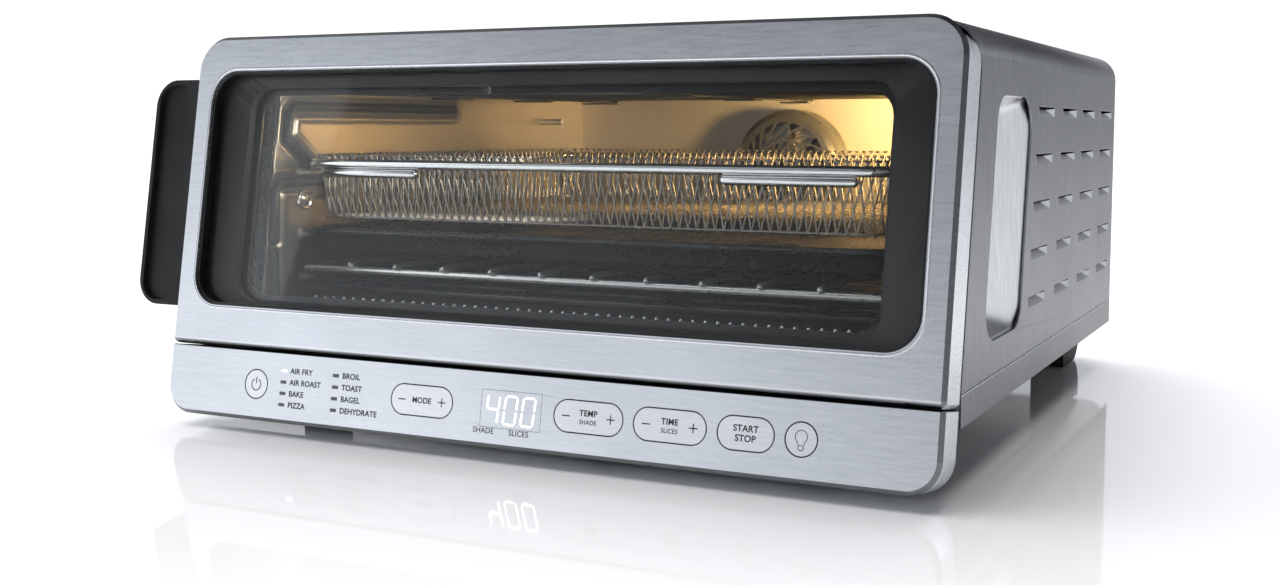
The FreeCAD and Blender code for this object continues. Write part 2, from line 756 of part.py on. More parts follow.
node("cord_gland", BODY,
     cut(fuse(rod(6.9, (160, REAR_FACE - 6, 48), 6, "y"), rod(10, (160, REAR_FACE, 48), 6, "y")),
         rod(3.6, (160, REAR_FACE - 8, 48), 16, "y")))
node("rear_screws", BODY,
     *[rod(3, (x, REAR_FACE, z), 1.8, "y") for x in (-185, 0, 185) for z in (41, 182)])


def make_front_feet():
    feet = []
    for side in (-1, 1):
        pad_foot = rod(12, (137 * side, 40, 1), D["shell_low"] - 1, "z")
        sole = rod(10.5, (137 * side, 40, 0), 1, "z")
        feet.append(fuse(pad_foot, sole))
    node("front_feet", BODY, *feet)


make_front_feet()


def rear_foot(label, x):
    """A rounded heel at a back corner, on which the oven tips up to stand on its back."""
    part = body(label)
    profile = sketch(part, "YZ_Plane", x)
    polygon(profile, [(356, 0), (407, 0), (407, D["shell_low"]), (356, D["shell_low"])])
    pad(part, profile, 21)
    dress(part, "Fillet", "Radius", 21,
          lambda edge: runs_along(edge, 0) and edge.CenterOfMass.z < 1 and edge.CenterOfMass.y > 400)
    dress(part, "Fillet", "Radius", 5,
          lambda edge: runs_along(edge, 0) and edge.CenterOfMass.z < 1 and edge.CenterOfMass.y < 360)
    return part


node("rear_feet", BODY, rear_foot("left_heel", -185), rear_foot("right_heel", 164))

# Cavity: separate enamelled sheets behind the leaning mouth

C_HALF, C_LOW, C_HIGH, C_BACK = D["cavity_half"], D["cavity_floor"], D["cavity_top"], D["cavity_back"]
WALL = D["sheet"]
RAILS = {"basket": D["basket_height"] - 3, "pan": D["pan_height"] - 2, "rack": D["rack_height"] - 3}

node("cavity_top", BODY,
     cut(block((-C_HALF - WALL, C_HALF + WALL), (0, C_BACK), (C_HIGH, C_HIGH + WALL)),
         front_trim(D["cavity_front"])))
node("cavity_floor", BODY,
     cut(block((-C_HALF - WALL, C_HALF + WALL), (0, C_BACK), (C_LOW - WALL, C_LOW)),
         front_trim(D["cavity_front"])))


def make_cavity_wall(label, side, holes):
    """A side wall with pressed rails that carry the basket, the pan and the rack."""
    pieces = [block(both(side, C_HALF, C_HALF + WALL), (0, C_BACK), (C_LOW, C_HIGH))]
    for top in RAILS.values():
        pieces.append(block(both(side, C_HALF - D["rail_reach"], C_HALF), (62, 340), (top - 4, top)))
    pieces.append(block(both(side, C_HALF - 2, C_HALF), (66, 72), (RAILS["basket"], C_HIGH - 12)))
    pieces.append(block(both(side, C_HALF - 2, C_HALF), (66, 340), (C_HIGH - 16, C_HIGH - 12)))
    node(label, BODY, cut(fuse(*pieces), front_trim(D["cavity_front"]), *holes))


LAMP = (250, 154)
make_cavity_wall("cavity_left_wall", -1, [])
make_cavity_wall("cavity_right_wall", 1, [rod(14.4, (C_HALF - 1, *LAMP), 4, "x")])

rounded_plate("cavity_mouth", FRONT, (-202, 202), (42, 190), 10, (MOUTH_FRONT, D["cavity_front"]),
              ((-C_HALF, C_HALF), (56, 176.6), 3))

node("cavity_back", BODY,
     cut(block((-C_HALF - WALL, C_HALF + WALL), (C_BACK, C_BACK + WALL), (C_LOW - WALL, C_HIGH + WALL)),
         rod(5, (0, C_BACK - 1, D["fan_height"]), 4, "y"),
         *[rod(3, (24 * math.cos(k * math.pi / 5), C_BACK - 1,
                   D["fan_height"] + 24 * math.sin(k * math.pi / 5)), 4, "y") for k in range(10)]))


def make_crumb_tray():
    tray = block((-164, 164), (62, 346), (C_LOW + 0.4, C_LOW + 1.4))
    lip = block((-164, 164), (60.8, 62), (C_LOW + 0.4, C_LOW + 8))
    node("crumb_tray", BODY, fuse(tray, lip))


make_crumb_tray()


def make_heat_cover():
    """The slotted plate over the lower elements."""
    plate = block((-162, 162), (66, 344), (C_LOW + 10, C_LOW + 11))
    slots = [block((x, x + 44), (y, y + 6), (C_LOW + 9, C_LOW + 12))
             for y in range(80, 340, 20) for x in range(-150, 110, 60)]
    legs = [block((x, x + 4), (y, y + 4), (C_LOW + 1.4, C_LOW + 10)) for x in (-162, 158) for y in (66, 340)]
    node("heat_cover", BODY, fuse(cut(plate, *slots), *legs))


make_heat_cover()


def heater_tube(label, y, height):
    """A hairpin tube across the cavity, with both ends at the right wall's bushes."""
    radius, bend, left, right = 3.1, 14, -150, 163
    far = y + 2 * bend
    part = body(label)
    path = sketch(part, "XY_Plane", height)
    ring = Part.Circle(FreeCAD.Vector(left, y + bend, 0), FreeCAD.Vector(0, 0, 1), bend)
    path.addGeometry([Part.LineSegment(FreeCAD.Vector(right, y, 0), FreeCAD.Vector(left, y, 0)),
                      Part.ArcOfCircle(ring, math.pi / 2, 3 * math.pi / 2),
                      Part.LineSegment(FreeCAD.Vector(left, far, 0), FreeCAD.Vector(right, far, 0))], False)
    constrain(path, [("Tangent", 0, 2, 1, 2), ("Tangent", 1, 1, 2, 1), ("Horizontal", 0),
                     ("DistanceX", -1, 1, 0, 2, as_size(left))]
              + fix_point(0, 1, right, y) + fix_point(2, 2, right, far))
    section = sketch(part, "YZ_Plane", right)
    circle(section, y, height, radius)
    tube = part.newObject("PartDesign::AdditivePipe", "tube")
    tube.Profile = section
    tube.Spine = (path, ["Edge1", "Edge2", "Edge3"])
    return part


def make_heaters():
    bushes = []
    for place, height, rows in (("upper", C_HIGH - 6, (96, 178, 260)), ("lower", C_LOW + 5.4, (96, 260))):
        tubes = []
        for y in rows:
            tubes.append(heater_tube("%s_tube" % place, y, height))
            bushes += [rod(3.6, (163, end, height), C_HALF - 163, "x") for end in (y, y + 28)]
        node(place + "_heaters", BODY, *tubes)
    node("heater_bushes", BODY, *bushes)


make_heaters()


def make_fan():
    """A guard on the back wall, an impeller inside it, and a motor behind the wall."""
    height = D["fan_height"]
    outer = rod(D["guard_radius"], (0, 330, height), C_BACK - 330, "y")
    inner = rod(D["guard_radius"] - 1.2, (0, 331.2, height), C_BACK, "y")
    slots = [block((-30, 30), (329, 332), (height + z - 1.5, height + z + 1.5)) for z in range(-21, 22, 7)]
    node("fan_guard", BODY, cut(outer, inner, *slots))
    hub = rod(6, (0, 335, height), 11, "y")
    disc = rod(D["fan_radius"], (0, 344.8, height), 1.2, "y")
    blades = []
    for k in range(8):
        blade = doc.addObject("Part::Box", "blade")
        bind(blade, "Length", D["fan_radius"] - 5)
        bind(blade, "Width", 9)
        bind(blade, "Height", 1)
        turn = FreeCAD.Rotation(FreeCAD.Vector(0, 1, 0), 45 * k)
        blade.Placement = FreeCAD.Placement(FreeCAD.Vector(0, 336, float(height)), turn).multiply(
            FreeCAD.Placement(FreeCAD.Vector(4, 0, -0.5), FreeCAD.Rotation()))
        blades.append(blade)
    bore = rod(D["shaft_radius"], (0, 330, height), 20, "y")
    node("fan_impeller", BODY, cut(fuse(hub, disc, *blades), bore))
    node("fan_shaft", BODY, rod(D["shaft_radius"], (0, 334, height), 32, "y"))
    can = rod(20, (0, 355.5, height), 26, "y")
    well = rod(D["shaft_radius"] + D["running"], (0, 355, height), 11.2, "y")
    ears = block((-30, 30), (355.5, 357), (height - 5, height + 5))
    node("fan_motor", BODY, cut(fuse(can, ears), well))


make_fan()

node("lamp_housing", BODY,
     cut(rod(17, (C_HALF + WALL, *LAMP), 18, "x"), rod(15.5, (C_HALF, *LAMP), 17, "x")))
node("lamp_lens", BODY, rod(14, (C_HALF - 1, *LAMP), 2, "x"))
node("lamp_bulb", BODY, rod(5, (C_HALF + 6, *LAMP), 10, "x"))
node("temperature_probe", BODY, rod(2, (-C_HALF, 300, 158), 17, "x"))
node("insulation", BODY, block((-170, 170), (80, 345), (C_HIGH + WALL + 0.3, C_HIGH + WALL + 10)))


def make_power_board():
    board = block((-70, 70), (220, 340), (34, 35.6))
    coil = block((-50, -10), (240, 280), (35.6, 52))
    relays = [block((x, x + 16), (300, 322), (35.6, 50)) for x in (0, 24)]
    posts = [block((x, x + 6), (y, y + 6), (D["shell_low"] + WALL, 34))
             for x in (-68, 62) for y in (222, 332)]
    node("power_board", BODY, fuse(board, coil, *relays, *posts))


make_power_board()

# Cooking ware

WARE_BACK = 322


def make_basket():
    """A wire basket: a round rim, two thick grab rods in front, and woven sides and floor."""
    part = body("rim_wire")
    height, radius = D["basket_height"], 2.5
    half = D["ware_half"] - radius
    front, back = D["ware_front"] + radius, WARE_BACK - radius
    path = sketch(part, "XY_Plane", height)
    rounded_rectangle(path, (-half, half), (front, back), 14)
    section = sketch(part, "YZ_Plane")
    circle(section, front, height, radius)
    rim = part.newObject("PartDesign::AdditivePipe", "rim")
    rim.Profile = section
    rim.Spine = (path, ["Edge%d" % k for k in range(1, 9)])
    flat_tray("basket_mesh", BODY, (-half + 2.6, half - 2.6), (front + 2.6, back - 2.6), 12,
              (D["basket_floor"], height + 1), 1)
    low = height - 2 * radius
    grabs = [rod(2.4, (x, front, low + 0.2), length, "x") for x, length in ((-152, 60), (85, 67))]
    node("basket_rim", BODY, fuse(part, *grabs))


make_basket()


def make_sheet_pan():
    part = flat_tray("sheet_pan", BODY, (-163, 163), (D["ware_front"] + 2, WARE_BACK - 1), 12,
                     (D["pan_floor"], D["pan_height"]), 1)
    flange = sketch(part, "XY_Plane", D["pan_height"] - 1)
    rounded_rectangle(flange, (-D["ware_half"], D["ware_half"]), (D["ware_front"] - 1, WARE_BACK + 2), 14)
    rounded_rectangle(flange, (-162.5, 162.5), (D["ware_front"] + 2.5, WARE_BACK - 1.5), 11.5)
    pad(part, flange, 1)


make_sheet_pan()


def make_rack():
    height, half = D["rack_height"], D["ware_half"] - 2
    front, back = D["ware_front"] + 2, 340
    frame = [rod(2, (-half, y, height), half * 2, "x") for y in (front, back)]
    frame += [rod(2, (x, front, height), back - front, "y") for x in (-half, half)]
    wires = [rod(1.4, (-135 + 30 * k, front - 2, height + 2.4), back - front + 4, "y") for k in range(10)]
    node("wire_rack", BODY, fuse(*frame, *wires))


make_rack()

# Check every object, then write each sub-part

doc.recompute()
for thing in doc.Objects:
    if "Invalid" in thing.State or "Error" in thing.State:
        raise RuntimeError("%s failed: %s" % (thing.Name, thing.State))
    if thing.TypeId == "PartDesign::Pocket" and thing.Shape.Volume > thing.BaseFeature.Shape.Volume - 1e-3:
        raise RuntimeError("%s of %s cuts nothing" % (thing.Name, thing.getParentGeoFeatureGroup().Label))

os.makedirs("parts", exist_ok=True)
for part in nodes:
    if part.Shape.isNull() or not part.Shape.isValid():
        raise RuntimeError(part.Label + " has no valid shape")
    part.Shape.exportStep("parts/%s.step" % part.Label)
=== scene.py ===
import json
import math

import bmesh
import bpy
from mathutils import Matrix, Vector


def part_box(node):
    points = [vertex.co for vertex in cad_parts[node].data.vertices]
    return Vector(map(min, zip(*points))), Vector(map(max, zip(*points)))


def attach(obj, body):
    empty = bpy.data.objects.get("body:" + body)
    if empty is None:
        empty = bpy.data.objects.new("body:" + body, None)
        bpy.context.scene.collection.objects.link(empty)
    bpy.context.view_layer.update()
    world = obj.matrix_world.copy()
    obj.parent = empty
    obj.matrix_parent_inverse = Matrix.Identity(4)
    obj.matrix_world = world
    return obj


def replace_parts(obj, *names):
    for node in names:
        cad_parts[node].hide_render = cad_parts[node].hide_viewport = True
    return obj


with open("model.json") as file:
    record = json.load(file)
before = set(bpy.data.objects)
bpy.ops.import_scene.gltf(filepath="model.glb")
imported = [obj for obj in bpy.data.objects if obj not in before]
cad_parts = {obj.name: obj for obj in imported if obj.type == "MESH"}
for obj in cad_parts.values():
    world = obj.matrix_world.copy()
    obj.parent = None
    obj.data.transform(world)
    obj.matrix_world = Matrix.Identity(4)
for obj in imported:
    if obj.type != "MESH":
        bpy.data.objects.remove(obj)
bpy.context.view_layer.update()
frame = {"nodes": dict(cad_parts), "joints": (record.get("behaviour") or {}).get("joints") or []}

# The studio: a camera low in front of the oven's right corner, a pale polished table, and soft light from
# a box on the left, a wide one overhead and the walls of the room.


def place_camera():
    """Stands in metres, turned, tipped and rolled by radians, with its film and lens in millimetres."""
    stand_at = Vector((0.3769, -0.7044, 0.1535))
    turn, tip, roll = -0.4136, 0.1072, 0.0017
    looking = Vector((math.sin(turn) * math.cos(tip), math.cos(turn) * math.cos(tip), -math.sin(tip)))
    level = Vector((math.cos(turn), -math.sin(turn), 0))
    above = level.cross(looking)
    right = level * math.cos(roll) + above * math.sin(roll)
    up = above * math.cos(roll) - level * math.sin(roll)
    data = bpy.data.cameras.new("camera")
    data.sensor_width = 36.0
    data.lens = 37.64
    data.shift_x = -0.1083
    data.shift_y = -0.0151
    data.clip_start = 0.01
    camera = bpy.data.objects.new("camera", data)
    turned = Matrix((right, up, -looking)).transposed().to_4x4()
    camera.matrix_world = Matrix.Translation(stand_at) @ turned
    bpy.context.scene.collection.objects.link(camera)
    bpy.context.scene.camera = camera


def soft_box(name, place, towards, size, power, colour=(1, 1, 1)):
    """A flat soft light of the given width and height, turned towards a point."""
    data = bpy.data.lights.new(name, "AREA")
    data.shape = "RECTANGLE"
    data.size, data.size_y = size
    data.energy = power
    data.color = colour
    lamp = bpy.data.objects.new(name, data)
    lamp.location = place
    lamp.rotation_euler = (Vector(towards) - Vector(place)).to_track_quat("-Z", "Y").to_euler()
    bpy.context.scene.collection.objects.link(lamp)
    return lamp


def wire_up(tree, *pairs):
    """Joins outputs to inputs, each pair given as (from, to)."""
    for start, end in pairs:
        tree.links.new(start, end)


def new_finish(name, **values):
    """A material with its surface shader, and the values that are the same all over it."""
    material = bpy.data.materials.new(name)
    material.use_nodes = True
    surface = material.node_tree.nodes["Principled BSDF"]
    for socket, value in values.items():
        surface.inputs[socket.replace("_", " ")].default_value = value
    return material, material.node_tree, surface


def light_the_room():
    """A white backdrop, and walls whose brightness changes with height and with the compass: from left,
    through front and right, to the back."""
    world = bpy.data.worlds.new("studio")
    bpy.context.scene.world = world
    world.use_nodes = True
    tree = world.node_tree
    backdrop = tree.nodes["Background"]
    where = tree.nodes.new("ShaderNodeTexCoord")
    compass = tree.nodes.new("ShaderNodeTexGradient")
    compass.gradient_type = "RADIAL"
    ramp = tree.nodes.new("ShaderNodeValToRGB")
    walls = ramp.color_ramp
    walls.elements[0].color = (0.78, 0.81, 0.85, 1)
    walls.elements[1].color = (1.0, 1.0, 1.0, 1)
    for turn, grey in ((0.08, 1.0), (0.13, 1.1), (0.165, 1.05), (0.20, 0.50), (0.27, 0.34), (0.45, 0.34),
                       (0.58, 0.75), (0.64, 0.70), (0.69, 0.30), (0.735, 0.30), (0.76, 1.0)):
        walls.elements.new(turn).color = (grey * 0.97, grey, grey * 1.04, 1)
    split = tree.nodes.new("ShaderNodeSeparateXYZ")
    rise = tree.nodes.new("ShaderNodeValToRGB")
    heights = rise.color_ramp
    heights.elements[0].color = (1, 1, 1, 1)
    heights.elements[1].position = 0.95
    heights.elements[1].color = (0.10, 0.10, 0.11, 1)
    for height, grey in ((0.12, 1.0), (0.24, 0.62), (0.38, 0.24), (0.60, 0.42), (0.75, 0.30)):
        heights.elements.new(height).color = (grey, grey, grey * 1.03, 1)
    both = tree.nodes.new("ShaderNodeMix")
    both.data_type = "RGBA"
    both.blend_type = "MULTIPLY"
    both.inputs[0].default_value = 1.0
    path = tree.nodes.new("ShaderNodeLightPath")
    seen = tree.nodes.new("ShaderNodeMix")
    seen.data_type = "RGBA"
    seen.inputs[7].default_value = (1, 1, 1, 1)
    wire_up(tree, (where.outputs["Generated"], compass.inputs[0]), (compass.outputs["Fac"], ramp.inputs[0]),
            (where.outputs["Generated"], split.inputs[0]), (split.outputs["Z"], rise.inputs[0]),
            (ramp.outputs[0], both.inputs[6]), (rise.outputs[0], both.inputs[7]),
            (path.outputs["Is Camera Ray"], seen.inputs[0]), (both.outputs[2], seen.inputs[6]),
            (seen.outputs[2], backdrop.inputs["Color"]))
    backdrop.inputs["Strength"].default_value = 1.15


def lay_table():
    """A pale table with a soft polish, in one large sheet."""
    sheet = bpy.data.meshes.new("table")
    reach = 6.0
    sheet.from_pydata([(-reach, -reach, 0), (reach, -reach, 0), (reach, reach, 0), (-reach, reach, 0)], [],
                      [(0, 1, 2, 3)])
    table = bpy.data.objects.new("table", sheet)
    material, tree, surface = new_finish("pale_table", Roughness=0.05, IOR=2.5)
    spread = tree.nodes.new("ShaderNodeTexNoise")
    spread.inputs["Scale"].default_value = 3.0
    tint = tree.nodes.new("ShaderNodeMix")
    tint.data_type = "RGBA"
    tint.inputs[6].default_value = (0.94, 0.94, 0.945, 1)
    tint.inputs[7].default_value = (0.98, 0.98, 0.98, 1)
    wire_up(tree, (spread.outputs["Fac"], tint.inputs[0]), (tint.outputs[2], surface.inputs["Base Color"]))
    sheet.materials.append(material)
    bpy.context.scene.collection.objects.link(table)


def hang_overhead():
    """A very wide soft light from above and a little to the left, which polished faces don't mirror."""
    data = bpy.data.lights.new("overhead", "SUN")
    data.energy = 4.2
    data.angle = math.radians(70)
    sky = bpy.data.objects.new("overhead", data)
    sky.visible_glossy = False
    sky.rotation_euler = (math.radians(-14), math.radians(-18), 0)
    bpy.context.scene.collection.objects.link(sky)


place_camera()
light_the_room()
lay_table()
soft_box("left_box", (-1.9, -1.1, 0.9), (0, 0, 0.1), (1.4, 1.4), 7, (0.96, 0.98, 1.0)).visible_glossy = False
hang_overhead()
bpy.context.scene.view_settings.view_transform = "Standard"

# The brushed front: the door's frame and the key panel below it are one casting cut in two, of stainless
# sheet drawn along its length with a wavy grain. The keys are stamped from the same sheet.

JOINTS = {joint["name"]: joint for joint in frame["joints"]}
INWARD = Vector(JOINTS["power_key_press"]["axis"]).normalized()
UPWARD = Vector(JOINTS["mode_rocker_tilt"]["axis"]).normalized()
HINGE_DEPTH, HINGE_HEIGHT = 3.5, 39.25
MM = 0.001
FOOT = Vector(JOINTS["door_hinge"]["pos_m"]) - (INWARD * HINGE_DEPTH + UPWARD * HINGE_HEIGHT) * MM
LEAN = -INWARD.z / INWARD.y


def on_front(x, depth, height):
    """A point of the leaning front: millimetres right of its middle, behind its face and up its slope."""
    return FOOT + (Vector((x, 0, 0)) + INWARD * depth + UPWARD * height) * MM


def effect(name, inputs, outputs):
    """A shader node group with named inputs and outputs, and the nodes at its two ends."""
    tree = bpy.data.node_groups.new(name, "ShaderNodeTree")
    kinds = {3: "NodeSocketVector", 4: "NodeSocketColor"}
    for socket, value in inputs.items():
        kind = kinds[len(value)] if isinstance(value, tuple) else "NodeSocketFloat"
        tree.interface.new_socket(name=socket, in_out="INPUT", socket_type=kind).default_value = value
    for socket, kind in outputs.items():
        tree.interface.new_socket(name=socket, in_out="OUTPUT", socket_type="NodeSocket" + kind)
    return tree, tree.nodes.new("NodeGroupInput").outputs, tree.nodes.new("NodeGroupOutput").inputs


def do_sum(tree, operation, first, second, third=None):
    """A Math node on sockets or numbers, and its result."""
    node = tree.nodes.new("ShaderNodeMath")
    node.operation = operation
    for socket, value in zip(node.inputs, (first, second, third)):
        if isinstance(value, (int, float)):
            socket.default_value = value
        elif value is not None:
            tree.links.new(value, socket)
    return node.outputs[0]


def noise(tree, where, scale, detail=2.0, roughness=0.5):
    """A noise with so many grains for each unit of its coordinates."""
    texture = tree.nodes.new("ShaderNodeTexNoise")
    texture.inputs["Scale"].default_value = scale
    texture.inputs["Detail"].default_value = detail
    texture.inputs["Roughness"].default_value = roughness
    tree.links.new(where, texture.inputs["Vector"])
    return texture.outputs["Fac"]


def stretch(tree, where, lines):
    """Coordinates multiplied along each axis, which draws a noise out along the smallest."""
    node = tree.nodes.new("ShaderNodeVectorMath")
    node.operation = "MULTIPLY"
    tree.links.new(where, node.inputs[0])
    if isinstance(lines, tuple):
        node.inputs[1].default_value = lines
    else:
        tree.links.new(lines, node.inputs[1])
    return node.outputs[0]


def blend_colour(tree, share, first, second):
    """A colour between the first and the second, by a share from 0 to 1."""
    node = tree.nodes.new("ShaderNodeMix")
    node.data_type = "RGBA"
    for socket, value in ((node.inputs[0], share), (node.inputs[6], first), (node.inputs[7], second)):
        if isinstance(value, bpy.types.NodeSocket):
            tree.links.new(value, socket)
        else:
            socket.default_value = value
    return node.outputs[2]


def spread_out(tree, value, low, high):
    """Turns the middle part of a noise, from low to high, into the whole range from 0 to 1."""
    node = tree.nodes.new("ShaderNodeMapRange")
    node.inputs["From Min"].default_value = low
    node.inputs["From Max"].default_value = high
    tree.links.new(value, node.inputs["Value"])
    return node.outputs["Result"]


def make_brushed_grain():
    """Short drawn streaks with soft bands of handling: Lines is how many streaks a metre holds each way."""
    tree, given, made = effect("brushed_grain",
                               {"Vector": (0.0, 0.0, 0.0), "Lines": (60.0, 900.0, 900.0),
                                "Light": (0.7, 0.7, 0.7, 1.0), "Dark": (0.5, 0.5, 0.5, 1.0),
                                "Gloss": 0.3, "Gloss Spread": 0.1},
                               {"Color": "Color", "Roughness": "Float", "Height": "Float"})
    wave = tree.nodes.new("ShaderNodeVectorMath")
    wave.operation = "ADD"
    drift = tree.nodes.new("ShaderNodeTexNoise")
    drift.inputs["Scale"].default_value = 90.0
    small = tree.nodes.new("ShaderNodeVectorMath")
    small.operation = "SCALE"
    small.inputs["Scale"].default_value = 0.0011
    wire_up(tree, (given["Vector"], drift.inputs["Vector"]), (drift.outputs["Color"], small.inputs[0]),
            (given["Vector"], wave.inputs[0]), (small.outputs[0], wave.inputs[1]))
    along = stretch(tree, wave.outputs[0], given["Lines"])
    streak = spread_out(tree, noise(tree, along, 1.0, 3.0, 0.65), 0.3, 0.7)
    fine = noise(tree, along, 3.4, 1.0)
    handling = spread_out(tree, noise(tree, given["Vector"], 14.0, 2.0), 0.35, 0.7)
    tone = do_sum(tree, "MULTIPLY_ADD", streak, 0.6, do_sum(tree, "MULTIPLY", fine, 0.4))
    uneven = do_sum(tree, "SUBTRACT", do_sum(tree, "MULTIPLY_ADD", handling, 0.5, tone), 0.75)
    gloss = do_sum(tree, "MULTIPLY_ADD", uneven, given["Gloss Spread"], given["Gloss"])
    wire_up(tree, (blend_colour(tree, tone, given["Dark"], given["Light"]), made["Color"]),
            (gloss, made["Roughness"]), (tone, made["Height"]))
    return tree


BRUSHED_GRAIN = make_brushed_grain()


def lift(tree, surface, height, depth):
    """Raises the surface's shading by a height from 0 to 1, times a depth in metres."""
    bump = tree.nodes.new("ShaderNodeBump")
    bump.inputs["Strength"].default_value = 1.0
    bump.inputs["Distance"].default_value = depth
    wire_up(tree, (height, bump.inputs["Height"]), (bump.outputs[0], surface.inputs["Normal"]))


def place_effect(tree, group, **values):
    """The group in a material, fed with the piece's own coordinates."""
    node = tree.nodes.new("ShaderNodeGroup")
    node.node_tree = group
    for socket, value in values.items():
        node.inputs[socket.replace("_", " ")].default_value = value
    where = tree.nodes.new("ShaderNodeTexCoord")
    tree.links.new(where.outputs["Object"], node.inputs["Vector"])
    return node.outputs


def brushed_steel(name, lines, light, dark, gloss, depth, pull=0.0, turn=0.0, metal=1.0):
    """Steel with a drawn grain. Pull stretches its reflections across the grain, and turn is 0.25 if that is
    upright."""
    material, tree, surface = new_finish(name, Metallic=metal, Anisotropic=pull, Anisotropic_Rotation=turn)
    grain = place_effect(tree, BRUSHED_GRAIN, Lines=lines, Light=(*light, 1), Dark=(*dark, 1), Gloss=gloss,
                         Gloss_Spread=0.12)
    around = tree.nodes.new("ShaderNodeTangent")
    around.direction_type = "RADIAL"
    around.axis = "Z"
    wire_up(tree, (grain["Color"], surface.inputs["Base Color"]),
            (grain["Roughness"], surface.inputs["Roughness"]), (around.outputs[0], surface.inputs["Tangent"]))
    lift(tree, surface, grain["Height"], depth)
    return material


def refinish(node, *materials):
    """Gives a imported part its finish, in place of the plain one it came with."""
    mesh = frame["nodes"][node].data
    mesh.materials.clear()
    for material in materials:
        mesh.materials.append(material)


def soften(node, width, segments=2):
    """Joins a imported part's faces and rounds its hard edges a little, as a press or a tumbler leaves them."""
    part = frame["nodes"][node]
    weld = part.modifiers.new("weld", "WELD")
    weld.merge_threshold = 2e-6
    bevel = part.modifiers.new("soft_edge", "BEVEL")
    bevel.width = width * MM
    bevel.segments = segments
    bevel.limit_method = "ANGLE"
    bevel.angle_limit = math.radians(32)
    bevel.harden_normals = True


FRONT_STEEL = brushed_steel("front_steel", (55, 700, 700), (0.82, 0.85, 0.88), (0.60, 0.63, 0.66), 0.30,
                            5e-6, 0.5)


def paint_edge_light_and_shade(material):
    """Painted highlight and painted shade by facing: brightens the faces turned away from the front, at the
    outer edges, and darkens the chamfer between them and the face.
    """
    tree = material.node_tree
    surface = tree.nodes["Principled BSDF"]
    grain = surface.inputs["Base Color"].links[0].from_socket
    where = tree.nodes.new("ShaderNodeTexCoord")
    facing = tree.nodes.new("ShaderNodeVectorMath")
    facing.operation = "DOT_PRODUCT"
    facing.inputs[1].default_value = -INWARD
    ramp = tree.nodes.new("ShaderNodeValToRGB")
    # Painted light by facing: 1.25 on the edges, 0.30 on the chamfer and 1 on the face itself.
    ramp.color_ramp.elements[0].position = 0.30
    ramp.color_ramp.elements[0].color = (1.25, 1.25, 1.25, 1)
    ramp.color_ramp.elements[1].position = 0.97
    ramp.color_ramp.elements[1].color = (1, 1, 1, 1)
    for place, grey in ((0.45, 0.30), (0.90, 0.30)):
        ramp.color_ramp.elements.new(place).color = (grey, grey, grey, 1)
    toned = tree.nodes.new("ShaderNodeMix")
    toned.data_type = "RGBA"
    toned.blend_type = "MULTIPLY"
    toned.inputs[0].default_value = 1.0
    wire_up(tree, (where.outputs["Normal"], facing.inputs[0]), (facing.outputs["Value"], ramp.inputs[0]),
            (grain, toned.inputs[6]), (ramp.outputs[0], toned.inputs[7]),
            (toned.outputs[2], surface.inputs["Base Color"]))


paint_edge_light_and_shade(FRONT_STEEL)
for piece in ("door_frame", "key_panel"):
    refinish(piece, FRONT_STEEL)
    soften(piece, 0.15)

# The keys and the display's cover: stamped from the same brushed sheet, a shade lighter, and so tight in
# their openings that only a dark line shows round them.

KEY_STEEL = brushed_steel("key_steel", (55, 700, 700), (0.90, 0.92, 0.94), (0.70, 0.72, 0.75), 0.32, 4e-6,
                          0.4)
KEYS = ("power_key", "light_key", "mode_rocker", "temp_rocker", "time_rocker", "start_key")
for piece in KEYS:
    refinish(piece, KEY_STEEL)
    soften(piece, 0.2)
refinish("display_lens", FRONT_STEEL)

# Black strips of painted shade: a thin line down in the gap round every key, a strip along the seam under the
# door, and a band behind the front that the door's edge closes on. Each is a dark sheet put where there is only
# shade.


def gap_shade_black():
    # Near-black for the painted shade in the gaps, with a faint random mottle.
    material, tree, surface = new_finish("gap_shade_black", Roughness=0.6)
    where = tree.nodes.new("ShaderNodeTexCoord").outputs["Object"]
    dusty = blend_colour(tree, noise(tree, where, 1200.0), (0.006, 0.006, 0.007, 1), (0.02, 0.02, 0.022, 1))
    wire_up(tree, (dusty, surface.inputs["Base Color"]))
    return material


GAP_SHADE_BLACK = gap_shade_black()


def link_mesh(name, mesh, material, body, slot, *replaced):
    """Puts a finished mesh in the scene, riding on its body."""
    mesh.materials.append(material)
    piece = bpy.data.objects.new(name, mesh)
    bpy.context.scene.collection.objects.link(piece)
    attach(piece, body)
    if replaced:
        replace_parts(piece, *replaced)
    return piece


def made(name, build, material, body, slot, *replaced, smooth=False):
    """Turns finished faces into a piece that rides on its body."""
    bmesh.ops.recalc_face_normals(build, faces=build.faces)
    for face in build.faces:
        face.smooth = smooth
    mesh = bpy.data.meshes.new(name)
    build.to_mesh(mesh)
    build.free()
    return link_mesh(name, mesh, material, body, slot, *replaced)


def corner_points(half_wide, low, high, radius, middle=0.0, steps=10):
    """Points round a rectangle on the front with round corners, as (x, height)."""
    points = []
    for sx, height, start in ((1, high - radius, 0), (-1, high - radius, 90), (-1, low + radius, 180),
                              (1, low + radius, 270)):
        for k in range(steps + 1):
            turn = math.radians(start + 90 * k / steps)
            points.append((middle + sx * (half_wide - radius) + radius * math.cos(turn),
                           height + radius * math.sin(turn)))
    return points


def band(build, outer, inner, front, back):
    """A closed band on the front between two outlines and two depths."""
    count = len(outer)
    rings = [[build.verts.new(on_front(x, depth, height)) for x, height in line]
             for depth, line in ((front, outer), (front, inner), (back, inner), (back, outer))]
    for near, far in zip(rings, rings[1:] + rings[:1]):
        for k in range(count):
            build.faces.new((near[k], near[(k + 1) % count], far[(k + 1) % count], far[k]))


KEY_ROW = 18.4
KEY_AT = {key: (sum(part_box(key), Vector()).x / 2 - FOOT.x) / MM for key in KEYS}


